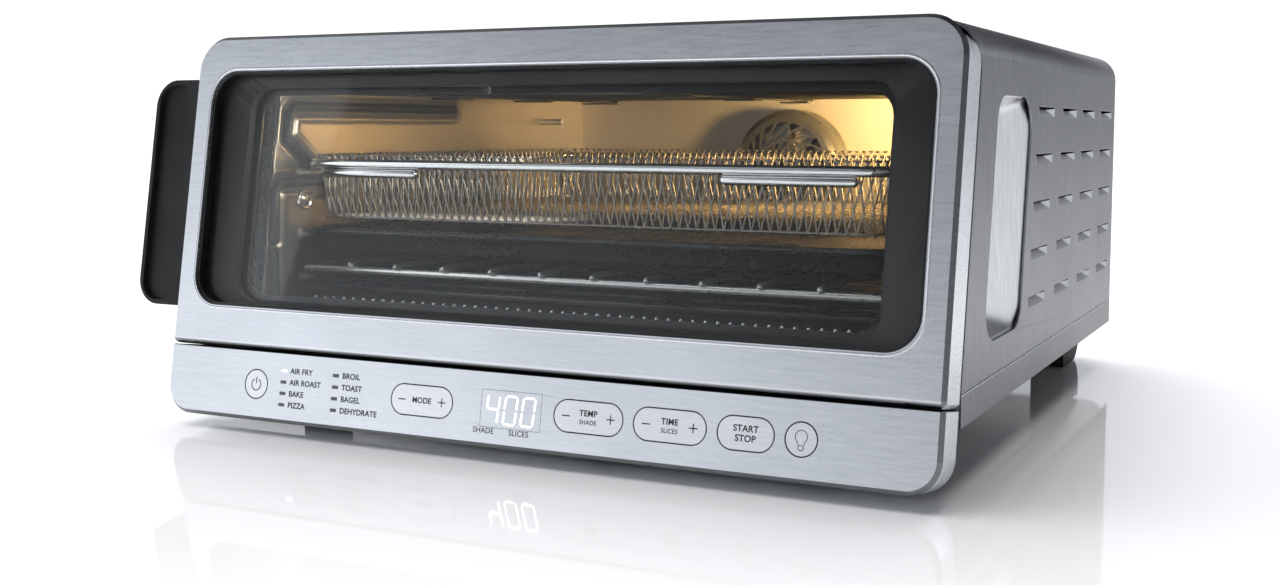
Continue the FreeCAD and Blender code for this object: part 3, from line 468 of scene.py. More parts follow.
def cut_key_gap_shade():
    """A thin black band down in the gap round each key, painted shade for the gap."""
    half_tall, flange = 7.0, 1.2
    build = bmesh.new()
    for key in KEYS:
        low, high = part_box(key)
        half_wide = (high.x - low.x) / 2 / MM - flange
        outer, inner = [corner_points(half_wide + gap, KEY_ROW - half_tall - gap, KEY_ROW + half_tall + gap,
                                      half_tall + gap - 0.01, KEY_AT[key]) for gap in (0.62, 0.06)]
        band(build, outer, inner, -0.03, 0.9)
    made("key_gap_shade", build, GAP_SHADE_BLACK, "oven", "silicone")


def cut_seam_shade_strip():
    """A flat black strip on the panel's top edge, painted shade that hides the bright steel seen down the seam,
    low enough for the door's foot to roll over it.
    """
    half_wide, front, back = 208.3, 0.9, 19.5
    low, thickness = 34.85, 0.25
    build = bmesh.new()
    corners = [build.verts.new(on_front(x, depth, height)) for x in (-half_wide, half_wide)
               for depth in (front, back) for height in (low, low + thickness)]
    for face in ((0, 1, 3, 2), (4, 5, 7, 6), (0, 1, 5, 4), (2, 3, 7, 6), (0, 2, 6, 4), (1, 3, 7, 5)):
        build.faces.new([corners[k] for k in face])
    made("seam_shade_strip", build, GAP_SHADE_BLACK, "oven", "silicone")


def cut_front_shadow_line():
    """A black band behind the front, round the outside of the wrapped body's front edge, that shows as a
    painted shadow line beside the door's casting.
    """
    low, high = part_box("outer_shell")
    shell_half = (high.x - low.x) / 2 / MM
    front, back = 20.3, 26.5
    outer = corner_points(shell_half + 1.3, 21.5, 196.1, 16.7)
    inner = corner_points(shell_half + 0.15, 24, 194.5, 15.5)
    build = bmesh.new()
    band(build, outer, inner, front, back)
    made("front_shadow_line", build, GAP_SHADE_BLACK, "oven", "silicone")


cut_key_gap_shade()
cut_seam_shade_strip()
cut_front_shadow_line()

# Printed words and signs: screen-printed in dark ink, a few hundredths of a millimetre thick, straight on
# the panel and the keys. Each one moves with the key that it is printed on.


def dark_ink():
    material, tree, surface = new_finish("dark_ink", Roughness=0.42)
    where = tree.nodes.new("ShaderNodeTexCoord").outputs["Object"]
    mottle = noise(tree, where, 900.0, 2.0)
    ink = blend_colour(tree, mottle, (0.012, 0.014, 0.018, 1), (0.035, 0.038, 0.045, 1))
    wire_up(tree, (ink, surface.inputs["Base Color"]))
    return material


DARK_INK = dark_ink()
PRINT = 0.03
FACING = Matrix((Vector((1, 0, 0)), UPWARD, -INWARD)).transposed().to_4x4()


def write(name, words, x, height, size, body, align="LEFT", weight=0.0):
    """One printed word, centred on its height. The size is that of its capitals, in millimetres."""
    capital_share = 0.71
    data = bpy.data.curves.new(name, "FONT")
    data.body = words
    data.size = size * MM / capital_share
    data.align_x = align
    data.align_y = "CENTER"
    data.offset = weight * MM
    data.extrude = PRINT * MM / 2
    data.space_character = 1.04
    data.materials.append(DARK_INK)
    word = bpy.data.objects.new(name, data)
    word.matrix_world = Matrix.Translation(on_front(x, -PRINT, height)) @ FACING
    bpy.context.scene.collection.objects.link(word)
    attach(word, body)
    return word


LAMP_ROWS = (26.35, 20.7, 15.05, 9.4)
LAMP_COLUMNS = (-131.8, -98.9)
COOKING = (("AIR FRY", "AIR ROAST", "BAKE", "PIZZA"), ("BROIL", "TOAST", "BAGEL", "DEHYDRATE"))
for column, words in zip(LAMP_COLUMNS, COOKING):
    for height, word in zip(LAMP_ROWS, words):
        write("word_" + word.lower().replace(" ", "_"), word, column + 4.1, height, 2.75, "oven",
              weight=0.1)
for label, x in (("SHADE", -15.6), ("SLICES", 4.2)):
    write("word_" + label.lower(), label, x, 7.7, 2.6, "oven", weight=0.03)
write("word_mode", "MODE", KEY_AT["mode_rocker"], KEY_ROW, 2.7, "mode_rocker", "CENTER", 0.1)
for body, top, low in (("temp_rocker", "TEMP", "SHADE"), ("time_rocker", "TIME", "SLICES")):
    write("word_%s_top" % body, top, KEY_AT[body], KEY_ROW + 1.7, 2.7, body, "CENTER", 0.1)
    write("word_%s_low" % body, low, KEY_AT[body], KEY_ROW - 2.3, 2.0, body, "CENTER", 0.04)
for word, rise in (("START", 2.1), ("STOP", -2.1)):
    write("word_" + word.lower(), word, KEY_AT["start_key"], KEY_ROW + rise, 2.8, "start_key", "CENTER", 0.1)


def printed_lines(name, strokes, width, body):
    """Lines of ink of one width through points on the front, each stroke a list of (x, height)."""
    build = bmesh.new()
    for points, closed in strokes:
        count = len(points)
        edges = []
        for k, (x, height) in enumerate(points):
            before = points[k - 1] if closed or k else points[k]
            after = points[(k + 1) % count] if closed or k < count - 1 else points[k]
            run = Vector((after[0] - before[0], after[1] - before[1])).normalized()
            side = Vector((-run.y, run.x)) * width / 2
            edges.append([build.verts.new(on_front(x + side.x * way, -depth, height + side.y * way))
                          for depth in (0.0, PRINT) for way in (-1, 1)])
        last = count if closed else count - 1
        for k in range(last):
            a, b = edges[k], edges[(k + 1) % count]
            for i, j in ((0, 1), (1, 3), (3, 2), (2, 0)):
                build.faces.new((a[i], a[j], b[j], b[i]))
        if not closed:
            for end in (edges[0], edges[-1]):
                build.faces.new((end[0], end[1], end[3], end[2]))
    return made(name, build, DARK_INK, body, "black_plastic")


def arc(x, height, radius, start, end, steps=24):
    """Points on an arc of the front, with its ends given in degrees from the right."""
    angles = [math.radians(start + (end - start) * k / steps) for k in range(steps + 1)]
    return [(x + radius * math.cos(a), height + radius * math.sin(a)) for a in angles]


def minus_and_plus(body):
    """The two signs at a rocker's ends."""
    reach, half, width = 11.6, 2.1, 0.55
    left, right = KEY_AT[body] - reach, KEY_AT[body] + reach
    printed_lines("minus_" + body, [([(left - half, KEY_ROW), (left + half, KEY_ROW)], False)], width, body)
    printed_lines("plus_" + body, [([(right - half, KEY_ROW), (right + half, KEY_ROW)], False),
                                   ([(right, KEY_ROW - half), (right, KEY_ROW + half)], False)], width, body)


def power_sign():
    """An open circle with a stroke in its gap."""
    x, radius = KEY_AT["power_key"], 2.9
    ring = arc(x, KEY_ROW - 0.2, radius, 120, 420)
    printed_lines("power_sign", [(ring, False), ([(x, KEY_ROW + 0.4), (x, KEY_ROW + 3.6)], False)], 0.55,
                  "power_key")


def bulb_sign():
    """A bulb's outline with its cap below."""
    x, neck, cap = KEY_AT["light_key"], 1.2, 0.6
    shoulder, foot, tip = KEY_ROW - 2.6, KEY_ROW - 4.0, KEY_ROW - 4.6
    glass = arc(x, KEY_ROW + 1.1, 2.75, -52, 232) + [(x - neck, shoulder), (x + neck, shoulder)]
    socket = [(x - neck, shoulder), (x - neck, foot), (x - cap, tip), (x + cap, tip), (x + neck, foot),
              (x + neck, shoulder)]
    printed_lines("bulb_sign", [(glass, True), (socket, False)], 0.34, "light_key")


for body in ("mode_rocker", "temp_rocker", "time_rocker"):
    minus_and_plus(body)
power_sign()
bulb_sign()

# The lit digits: light pipes that shine through the display's cover, three figures of seven bars each.
# Each bar is a pointed bar of milky plastic with a lamp behind it.


def lit_plastic(name, colour, strength):
    """Milky plastic lit from behind, a little cloudy."""
    material, tree, surface = new_finish(name, Roughness=0.4, Emission_Strength=strength)
    where = tree.nodes.new("ShaderNodeTexCoord").outputs["Object"]
    cloud = noise(tree, where, 700.0, 1.0)
    pale = tuple(0.9 * c for c in colour)
    wire_up(tree, (blend_colour(tree, cloud, (*pale, 1), (*colour, 1)), surface.inputs["Emission Color"]))
    surface.inputs["Base Color"].default_value = (*colour, 1)
    return material


LIT_WHITE = lit_plastic("lit_digit", (1.0, 1.0, 1.0), 1.25)
FIGURES = {"4": "bcfg", "0": "abcdef"}
BARS = {"a": ((0, 2), (1, 2)), "b": ((1, 1), (1, 2)), "c": ((1, 0), (1, 1)), "d": ((0, 0), (1, 0)),
        "e": ((0, 0), (0, 1)), "f": ((0, 1), (0, 2)), "g": ((0, 1), (1, 1))}


def lit_figures(text, left, low, wide, tall, pitch):
    """Figures of pointed bars that lean a little to the right, as display figures do."""
    build = bmesh.new()
    half, gap, lean = 0.5, 0.35, 0.08
    for place, figure in enumerate(text):
        for bar in FIGURES[figure]:
            (x0, z0), (x1, z1) = BARS[bar]
            start = Vector((x0 * wide, z0 * tall / 2))
            run = Vector((x1 * wide, z1 * tall / 2)) - start
            length = run.length
            run.normalize()
            side = Vector((-run.y, run.x)) * half
            outline = [start + run * gap, start + run * (gap + half) + side,
                       start + run * (length - gap - half) + side, start + run * (length - gap),
                       start + run * (length - gap - half) - side, start + run * (gap + half) - side]
            rings = [[build.verts.new(on_front(left + place * pitch + p.x + p.y * lean, -depth, low + p.y))
                      for p in outline] for depth in (-0.02, 0.06)]
            build.faces.new(rings[0])
            build.faces.new(rings[1])
            for k in range(6):
                build.faces.new((rings[0][k], rings[0][(k + 1) % 6], rings[1][(k + 1) % 6], rings[1][k]))
    return made("lit_digits", build, LIT_WHITE, "oven", "lens_plastic")


lit_figures("400", left=-9.2, low=11.4, wide=6.4, tall=13.0, pitch=9.7)

# The indicator lamps: eight small bars of milky plastic beside the cooking words, the ends of light pipes
# that are pushed through slots in the panel. The first is lit.


def lamp_bars(name, places, material, *replaced):
    """Bars with round ends, flush in the panel and a tenth proud of it."""
    build = bmesh.new()
    half_long, half_tall, proud, sunk = 1.65, 0.62, 0.12, 2.0
    for x, height in places:
        outline = arc(x + half_long - half_tall, height, half_tall, -90, 90, 8)
        outline += arc(x - half_long + half_tall, height, half_tall, 90, 270, 8)
        rings = [[build.verts.new(on_front(px, depth, pz)) for px, pz in outline] for depth in (-proud, sunk)]
        build.faces.new(rings[0])
        build.faces.new(rings[1])
        count = len(outline)
        for k in range(count):
            build.faces.new((rings[0][k], rings[0][(k + 1) % count], rings[1][(k + 1) % count], rings[1][k]))
    return made(name, build, material, "oven", "lens_plastic", *replaced)


def unlit_plastic():
    """The same milky plastic with no light behind it, which looks smoky."""
    material, tree, surface = new_finish("unlit_lamp", Roughness=0.35)
    where = tree.nodes.new("ShaderNodeTexCoord").outputs["Object"]
    smoke = blend_colour(tree, noise(tree, where, 900.0), (0.10, 0.105, 0.12, 1), (0.17, 0.175, 0.19, 1))
    wire_up(tree, (smoke, surface.inputs["Base Color"]))
    return material


LAMP_PLACES = [(x, height) for x in LAMP_COLUMNS for height in LAMP_ROWS]
lamp_bars("lit_lamp", LAMP_PLACES[:1], LIT_WHITE)
lamp_bars("unlit_lamps", LAMP_PLACES[1:], unlit_plastic(), "indicator_lamps")

# The window's rolled edge: the door sheet is rolled inwards round its window, and polished there. Behind
# the roll a black trim ring runs back to the glass.

# Bright polished steel for the window's roll; on the hem lines it is a painted highlight.
ROLL_AND_HIGHLIGHT_STEEL = brushed_steel("roll_and_highlight_steel", (400, 400, 400), (0.88, 0.90, 0.92), (0.74, 0.76, 0.78), 0.26,
                            5e-7)


def loft(build, loops, closed=False):
    """Joins loops that have the same number of points, and gives them back as rings of vertices."""
    rings = [[build.verts.new(point) for point in loop] for loop in loops]
    for near, far in zip(rings, rings[1:] + (rings[:1] if closed else [])):
        count = len(near)
        for k in range(count):
            build.faces.new((near[k], near[(k + 1) % count], far[(k + 1) % count], far[k]))
    return rings


def roll_window_edge():
    """The roll's section is given outwards from the window's edge and back from the face."""
    half_wide, low, high, corner = 198, 56.8, 178.9, 16
    section = ((1.9, 0.05), (1.6, -0.10), (1.1, -0.14), (0.6, 0.0), (0.2, 0.4), (0.0, 1.0), (0.0, 1.6),
               (0.8, 1.6), (1.4, 0.8))
    build = bmesh.new()
    loops = []
    for grow, depth in section:
        outline = corner_points(half_wide + grow, low - grow, high + grow, corner + grow)
        loops.append([on_front(x, depth, height) for x, height in outline])
    loft(build, loops, closed=True)
    made("window_roll", build, ROLL_AND_HIGHLIGHT_STEEL, "door", "brushed_front", smooth=True)


roll_window_edge()

# The panes: clear tempered glass, 3 mm outside and 2.5 mm inside. A dark enamelled frame parts them and
# hides the door's inner works.


def clear_glass():
    """Glass that lets lamps shine through it, with a faint film of wiping."""
    material, tree, surface = new_finish("clear_glass", IOR=1.22, Transmission_Weight=1.0)
    surface.inputs["Base Color"].default_value = (0.97, 0.985, 0.98, 1)
    where = tree.nodes.new("ShaderNodeTexCoord").outputs["Object"]
    wiped = noise(tree, stretch(tree, where, (3.0, 20.0, 20.0)), 4.0, 3.0)
    wire_up(tree, (do_sum(tree, "MULTIPLY", wiped, 0.03), surface.inputs["Roughness"]))
    path = tree.nodes.new("ShaderNodeLightPath")
    clear = tree.nodes.new("ShaderNodeBsdfTransparent")
    clear.inputs["Color"].default_value = (0.5, 0.5, 0.5, 1)
    either = tree.nodes.new("ShaderNodeMixShader")
    out = tree.nodes["Material Output"]
    wire_up(tree, (path.outputs["Is Shadow Ray"], either.inputs[0]), (surface.outputs[0], either.inputs[1]),
            (clear.outputs[0], either.inputs[2]), (either.outputs[0], out.inputs["Surface"]))
    return material


CLEAR_GLASS = clear_glass()
for pane in ("outer_glass", "inner_glass"):
    refinish(pane, CLEAR_GLASS)


def make_enamel_skin():
    """Fired or sprayed enamel: a fine orange peel, with a scatter of specks of a second colour."""
    tree, given, made = effect("enamel_skin",
                               {"Vector": (0.0, 0.0, 0.0), "Ground": (0.1, 0.1, 0.1, 1.0),
                                "Speck": (0.2, 0.2, 0.2, 1.0), "Peel": 500.0, "Gloss": 0.35,
                                "Gloss Spread": 0.08},
                               {"Color": "Color", "Roughness": "Float", "Height": "Float"})
    peel = tree.nodes.new("ShaderNodeTexNoise")
    peel.inputs["Detail"].default_value = 2.0
    wire_up(tree, (given["Vector"], peel.inputs["Vector"]), (given["Peel"], peel.inputs["Scale"]))
    specks = spread_out(tree, noise(tree, given["Vector"], 1600.0, 1.0), 0.58, 0.66)
    cloud = noise(tree, given["Vector"], 16.0, 3.0)
    uneven = do_sum(tree, "SUBTRACT", do_sum(tree, "MULTIPLY_ADD", cloud, 2.0, peel.outputs["Fac"]), 1.5)
    gloss = do_sum(tree, "MULTIPLY_ADD", uneven, given["Gloss Spread"], given["Gloss"])
    shade = do_sum(tree, "MULTIPLY_ADD", cloud, 0.5, do_sum(tree, "MULTIPLY", specks, 0.5))
    wire_up(tree, (blend_colour(tree, shade, given["Ground"], given["Speck"]), made["Color"]),
            (gloss, made["Roughness"]), (peel.outputs["Fac"], made["Height"]))
    return tree


ENAMEL_SKIN = make_enamel_skin()


def enamel(name, ground, speck, gloss, peel=500.0, depth=3e-6, metal=0.0):
    """An enamelled or coated sheet. Peel is how many waves of its skin a metre holds."""
    material, tree, surface = new_finish(name, Metallic=metal)
    skin = place_effect(tree, ENAMEL_SKIN, Ground=(*ground, 1), Speck=(*speck, 1), Gloss=gloss, Peel=peel)
    wire_up(tree, (skin["Color"], surface.inputs["Base Color"]),
            (skin["Roughness"], surface.inputs["Roughness"]))
    lift(tree, surface, skin["Height"], depth)
    return material


WINDOW_BLACK = enamel("window_black", (0.045, 0.045, 0.048), (0.06, 0.06, 0.063), 0.5)
DOOR_ENAMEL = enamel("door_enamel", (0.012, 0.012, 0.013), (0.05, 0.05, 0.05), 0.3)
refinish("glass_spacer", WINDOW_BLACK)
refinish("door_inner_panel", DOOR_ENAMEL)
soften("glass_spacer", 0.3)
soften("door_inner_panel", 0.3)

# The pull: a deep moulding of black plastic with a fine spark texture, screwed to the door's left band.
# Its face is dished inside a narrow rim.


def make_moulded_grain():
    """The spark texture of a moulding tool, with a slight sheen where hands rub."""
    tree, given, made = effect("moulded_grain",
                               {"Vector": (0.0, 0.0, 0.0), "Ground": (0.02, 0.02, 0.02, 1.0),
                                "Worn": (0.03, 0.03, 0.03, 1.0), "Grain": 1800.0, "Gloss": 0.5},
                               {"Color": "Color", "Roughness": "Float", "Height": "Float"})
    pits = tree.nodes.new("ShaderNodeTexNoise")
    pits.inputs["Detail"].default_value = 2.0
    wire_up(tree, (given["Vector"], pits.inputs["Vector"]), (given["Grain"], pits.inputs["Scale"]))
    rubbed = spread_out(tree, noise(tree, given["Vector"], 22.0, 2.0), 0.35, 0.7)
    gloss = do_sum(tree, "MULTIPLY_ADD", rubbed, -0.1, do_sum(tree, "ADD", given["Gloss"], 0.05))
    wire_up(tree, (blend_colour(tree, rubbed, given["Ground"], given["Worn"]), made["Color"]),
            (gloss, made["Roughness"]), (pits.outputs["Fac"], made["Height"]))
    return tree


MOULDED_GRAIN = make_moulded_grain()


def moulding(name, ground, worn, gloss, grain=1800.0, depth=2e-5):
    """A moulded or cast material. Grain is how many pits of its skin a metre holds."""
    material, tree, surface = new_finish(name)
    skin = place_effect(tree, MOULDED_GRAIN, Ground=(*ground, 1), Worn=(*worn, 1), Gloss=gloss, Grain=grain)
    wire_up(tree, (skin["Color"], surface.inputs["Base Color"]),
            (skin["Roughness"], surface.inputs["Roughness"]))
    lift(tree, surface, skin["Height"], depth)
    return material


BLACK_PLASTIC = moulding("black_plastic", (0.005, 0.005, 0.005), (0.010, 0.010, 0.011), 0.6)
refinish("door_grip", BLACK_PLASTIC)
soften("door_grip", 1.1, 4)
TRIM_BLACK = moulding("trim_black", (0.006, 0.006, 0.006), (0.012, 0.012, 0.012), 0.35, 1500.0, 1e-5)
refinish("window_bezel", TRIM_BLACK)
for piece in ("display_housing", "cord_gland"):
    refinish(piece, BLACK_PLASTIC)
    soften(piece, 0.4)

# The wrapped body: one sheet of stainless steel bent round the top and both sides, and brushed upright. It
# is open at the front, where the door's casting meets it, and at the back, where the rear panel closes it.

SHELL_STEEL = brushed_steel("shell_steel", (620, 620, 45), (0.42, 0.43, 0.445), (0.19, 0.195, 0.205), 0.34,
                            6e-6, 0.5, 0.25)
refinish("outer_shell", SHELL_STEEL)
soften("outer_shell", 0.3)
shell_low, shell_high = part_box("outer_shell")

# The louvres: five rows of four on each side, cut along their top edge and pressed inwards, so that each
# has a sloping face, a dark slit above it and a closed, three-cornered end.


def thicken(piece, thickness):
    """Gives a sheet its thickness in millimetres, half on each side."""
    sheet = piece.modifiers.new("sheet", "SOLIDIFY")
    sheet.thickness = thickness * MM
    sheet.offset = 0.0


def round_over(piece, width, segments=2):
    """Rounds a pressed piece's hard edges by a width in millimetres."""
    edge = piece.modifiers.new("soft_edge", "BEVEL")
    edge.width = width * MM
    edge.segments = segments
    edge.limit_method = "ANGLE"
    edge.angle_limit = math.radians(32)


# Painted highlight: a lighter, partly unmetallic copy of the shell's steel, so that the overhead light
# brightens the louvres that are pressed from the shell.
LOUVRE_LIT_STEEL = brushed_steel("louvre_lit_steel", (620, 620, 45), (0.78, 0.79, 0.80), (0.55, 0.56, 0.57), 0.4,
                             2e-6, 0.3, 0.25, 0.45)


def press_louvres(name, face, inward):
    """One side's louvres. The face is where the skin is, and inward is -1 or 1 along x. A column is given by
    its distance from the first, and by how far it leans back for each millimetre of rise."""
    columns = ((0, 0.16), (60.6, 0.13), (121.4, 0.063), (182.1, 0.028))
    rows, pitch = 5, 23.8
    long, tall, deep, shallow = 0.037, 0.0048, 3.4, 0.15
    lip_wall, near_end, far_end = 0.0009, 0.006, 0.009
    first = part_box("louvre_vanes")[0]
    build = bmesh.new()
    for start, lean in columns:
        for row in range(rows):
            rise = pitch * row
            y = first.y + (start + rise * lean - 0.2) * MM
            z = first.z + (rise + 0.2) * MM

            def at(across, up, inset):
                return build.verts.new((face + inward * inset * MM, y + across, z + up))

            lip = [at(0, 0, shallow), at(long, 0, shallow), at(long, tall, shallow), at(0, tall, shallow)]
            inner = [at(near_end, tall - lip_wall, deep), at(long - far_end, tall - lip_wall, deep)]
            build.faces.new((lip[0], lip[1], inner[1], inner[0]))
            build.faces.new((lip[1], lip[2], inner[1]))
            build.faces.new((lip[3], lip[0], inner[0]))
    sheet = made(name, build, LOUVRE_LIT_STEEL, "oven", "brushed_shell")
    thicken(sheet, 0.6)
    round_over(sheet, 0.25)
    return sheet


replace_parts(press_louvres("right_louvres", shell_high.x, -1), "louvre_vanes")
press_louvres("left_louvres", shell_low.x, 1)

# The hems: along the foot of each side the sheet is folded back on itself, which shows as a fine raised line
# and a band that tucks in below it. The band is a darker copy of the shell's steel, as painted shade, and the
# line is bright steel, as a painted highlight.


def sweep(build, points, radius, sides=10, closed=False):
    """A round rod along points in metres, with domed ends unless it is closed."""
    count = len(points)
    stations = []
    for k, point in enumerate(points):
        before = points[k - 1] if closed or k else point
        after = points[(k + 1) % count] if closed or k < count - 1 else point
        stations.append((point, (after - before).normalized(), radius * MM))
    if not closed:
        first, last = (points[1] - points[0]).normalized(), (points[-1] - points[-2]).normalized()
        for turn in (35, 65, 85):
            reach = radius * MM * math.sin(math.radians(turn))
            thin = radius * MM * math.cos(math.radians(turn))
            stations.insert(0, (points[0] - first * reach, first, thin))
            stations.append((points[-1] + last * reach, last, thin))
    side = stations[0][1].orthogonal().normalized()
    rings = []
    for point, run, thick in stations:
        side = (side - run * side.dot(run)).normalized()
        other = run.cross(side)
        turns = [2 * math.pi * k / sides for k in range(sides)]
        rings.append([build.verts.new(point + (side * math.cos(t) + other * math.sin(t)) * thick)
                      for t in turns])
    for near, far in list(zip(rings, rings[1:])) + ([(rings[-1], rings[0])] if closed else []):
        for k in range(sides):
            build.faces.new((near[k], near[(k + 1) % sides], far[(k + 1) % sides], far[k]))
    if not closed:
        build.faces.new(rings[0])
        build.faces.new(rings[-1])


# Painted shade: the hem's band is the shell's own sheet, given a darker copy of its steel.
HEM_SHADED_STEEL = brushed_steel("hem_shaded_steel", (620, 620, 45), (0.34, 0.345, 0.355), (0.19, 0.195, 0.205), 0.36,
                          4e-6, 0.4, 0.25)


def fold_hem(name, face, outward):
    """One side's band, darker than the shell as painted shade, and the bright line along its top, a painted
    highlight. The section is given as (rise, distance out).
    """
    top, tall = 16, 12.2
    near, far = shell_low.y + 0.012, shell_high.y - 0.010
    section = ((-2.0, 0.2), (tall, 0.2), (tall, -0.5), (-2.0, -0.5))
    build = bmesh.new()
    rows = [[build.verts.new((face + outward * out * MM, y, shell_low.z + (top - tall + up) * MM))
             for y in (near, far)] for up, out in section]
    for low_row, high_row in zip(rows, rows[1:] + rows[:1]):
        build.faces.new((low_row[0], low_row[1], high_row[1], high_row[0]))
    build.faces.new([row[0] for row in rows])
    build.faces.new([row[1] for row in rows])
    made(name, build, HEM_SHADED_STEEL, "oven", "brushed_shell")
    build = bmesh.new()
    line = [Vector((face + outward * 0.15 * MM, y, shell_low.z + top * MM)) for y in (near, far)]
    sweep(build, line, 0.32, 8)
    # Painted highlight: the line along the fold is bright steel, lighter than the shell round it.
    made(name + "_line", build, ROLL_AND_HIGHLIGHT_STEEL, "oven", "bright_steel", smooth=True)


fold_hem("right_hem", shell_high.x, 1)
fold_hem("left_hem", shell_low.x, -1)

# The scoops behind the two grip mouths: each is pressed from bright steel sheet, level with the skin at
# the back, and falls to its deepest by a steep front wall.

SCOOP_STEEL = brushed_steel("scoop_steel", (500, 500, 40), (0.86, 0.87, 0.88), (0.58, 0.59, 0.60), 0.34, 2e-6,
                            0.3, 0.25)


def soft_least(depths, blur):
    """The least of some depths, with the creases between them rounded."""
    return -blur * math.log(sum(math.exp(-depth / blur) for depth in depths))


def skin_over(build, grid):
    """Faces between rows of vertices."""
    for low_line, high_line in zip(grid, grid[1:]):
        for k in range(len(low_line) - 1):
            build.faces.new((low_line[k], low_line[k + 1], high_line[k + 1], high_line[k]))


def press_scoop(name, replaced, side):
    """Side is 1 on the right and -1 on the left. Each wall's depth grows with the distance from it."""
    low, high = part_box(replaced)
    skin = shell_high.x if side > 0 else shell_low.x
    rim = 1.2 * MM
    base, top, front = low.z + rim, high.z - rim, low.y + rim
    tall, long, deep = top - base, 0.069, 0.019
    sheet_face, crease = 0.0013, 0.0016
    columns, rows = 40, 64
    build = bmesh.new()
    grid = []
    for i in range(rows + 1):
        line = []
        for k in range(columns + 1):
            up, back = tall * i / rows, long * k / columns
            walls = (deep * (1 - k / columns), back * 2.4, up * 1.15, (tall - up) * 1.5)
            fall = sheet_face + max(0.0, soft_least(walls, crease))
            line.append(build.verts.new((skin - side * fall, front + back + up * LEAN, base + up)))
        grid.append(line)
    skin_over(build, grid)
    thicken(made(name, build, SCOOP_STEEL, "oven", "brushed_shell", replaced, smooth=True), 0.7)


press_scoop("right_scoop", "right_grip_pocket", 1)
press_scoop("left_scoop", "left_grip_pocket", -1)

# Wire ware: the basket, the rack and their rods are drawn steel wire, chromed and buffed, and welded
# where they cross.

CHROME = brushed_steel("chrome_wire", (120, 120, 900), (0.86, 0.86, 0.87), (0.70, 0.70, 0.71), 0.14, 1e-6)
# Painted shade: the basket's weave is the same chromed wire as its rim, given a dark copy of its finish.
SHADED_WEAVE_STEEL = brushed_steel("shaded_weave_steel", (400, 400, 400), (0.36, 0.34, 0.32), (0.20, 0.19, 0.18), 0.3, 1e-6)
RACK_STEEL = brushed_steel("rack_steel", (120, 900, 900), (0.92, 0.92, 0.92), (0.78, 0.78, 0.78), 0.3, 1e-6,
                           metal=0.8)


def rounded_loop(x, y, z, radius, steps=8):
    """Points round a level rectangle with round corners, from its ends along x and y, in metres."""
    loop = []
    corners = ((x[1], y[1], -1, -1, 0), (x[0], y[1], 1, -1, 90), (x[0], y[0], 1, 1, 180),
               (x[1], y[0], -1, 1, 270))
    for cx, cy, sx, sy, start in corners:
        for k in range(steps + 1):
            turn = math.radians(start + 90 * k / steps)
            loop.append(Vector((cx + sx * radius + radius * math.cos(turn),
                                cy + sy * radius + radius * math.sin(turn), z)))
    return loop


def paced(loop, count):
    """The given number of points, evenly spaced round a closed loop."""
    lengths = [(loop[(k + 1) % len(loop)] - p).length for k, p in enumerate(loop)]
    pace = sum(lengths) / count
    points, gone, k = [], 0.0, 0
    for step in range(count):
        while gone + lengths[k] < pace * step:
            gone += lengths[k]
            k += 1
        share = (pace * step - gone) / lengths[k]
        points.append(loop[k].lerp(loop[(k + 1) % len(loop)], share))
    return points


def bend_basket_rods():
    """A closed rim of thick rod, with two shorter rods under its front to grab it by."""
    low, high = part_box("basket_rim")
    rod, grab_rod, corner, grab_drop = 2.5, 2.4, 0.014, 0.0048
    inset = rod * MM
    rim_height = high.z - inset
    x, y = (low.x + inset, high.x - inset), (low.y + inset, high.y - inset)
    middle = (x[0] + x[1]) / 2
    build = bmesh.new()
    sweep(build, rounded_loop(x, y, rim_height, corner), rod, 14, closed=True)
    for start, length in ((-0.1505, 0.058), (0.0865, 0.064)):
        grab = [Vector((middle + start + share * length, y[0], rim_height - grab_drop))
                for share in (0, 0.5, 1)]
        sweep(build, grab, grab_rod, 14)
    made("basket_rods", build, CHROME, "basket", "chrome_wire", "basket_rim", smooth=True)


def weave_sides(build, x, y, foot_height, head_height):
    """Two layers of fine wire that slant opposite ways, twisted at the head and ringed at the foot."""
    wires, slant, taper, corner = 236, 3, 0.003, 0.012
    count = 2 * wires
    foot_x, foot_y = (x[0] + taper, x[1] - taper), (y[0] + taper, y[1] - taper)
    foot = paced(rounded_loop(foot_x, foot_y, foot_height, corner), count)
    head = paced(rounded_loop(x, y, head_height, corner), count)
    for k in range(0, count, 2):
        for way in (-slant, slant):
            sweep(build, [foot[k], head[(k + way) % count]], 0.48, 6)
        tip, after = head[k + 1], head[(k + 2) % count]
        run = (after - tip).normalized() * 0.0011
        sweep(build, [tip - run, tip + run], 0.62, 6)
    ring = [low.lerp(high, 0.02) for low, high in zip(foot, head)]
    sweep(build, ring, 0.75, 6, closed=True)


def weave_floor(build, x, y, height):
    """Two layers of slanting wire, cut off at the sides. A wire's shares are where it meets them."""
    slant, pitch, spare = 0.2, 0.0072, 8
    layer = 0.0004
    deep = y[1] - y[0]
    for way in (-1, 1):
        for k in range(-spare, int((x[1] - x[0]) / pitch) + spare + 1):
            start = x[0] + k * pitch
            run = way * slant * deep
            shares = sorted(max(0.0, min(1.0, (edge - start) / run)) for edge in x)
            if shares[1] - shares[0] > 0.02:
                ends = [Vector((start + run * s, y[0] + deep * s, height + way * layer)) for s in shares]
                sweep(build, ends, 0.55, 6)


def weave_basket():
    low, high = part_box("basket_mesh")
    rim_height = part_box("basket_rim")[1].z - 2.5 * MM
    margin = 0.005
    build = bmesh.new()
    weave_sides(build, (low.x, high.x), (low.y, high.y), low.z + 0.0008, rim_height + 0.0044)
    weave_floor(build, (low.x + margin, high.x - margin), (low.y + margin, high.y - margin), low.z + 0.0008)
    made("basket_weave", build, SHADED_WEAVE_STEEL, "basket", "chrome_wire", "basket_mesh", smooth=True)


bend_basket_rods()
weave_basket()


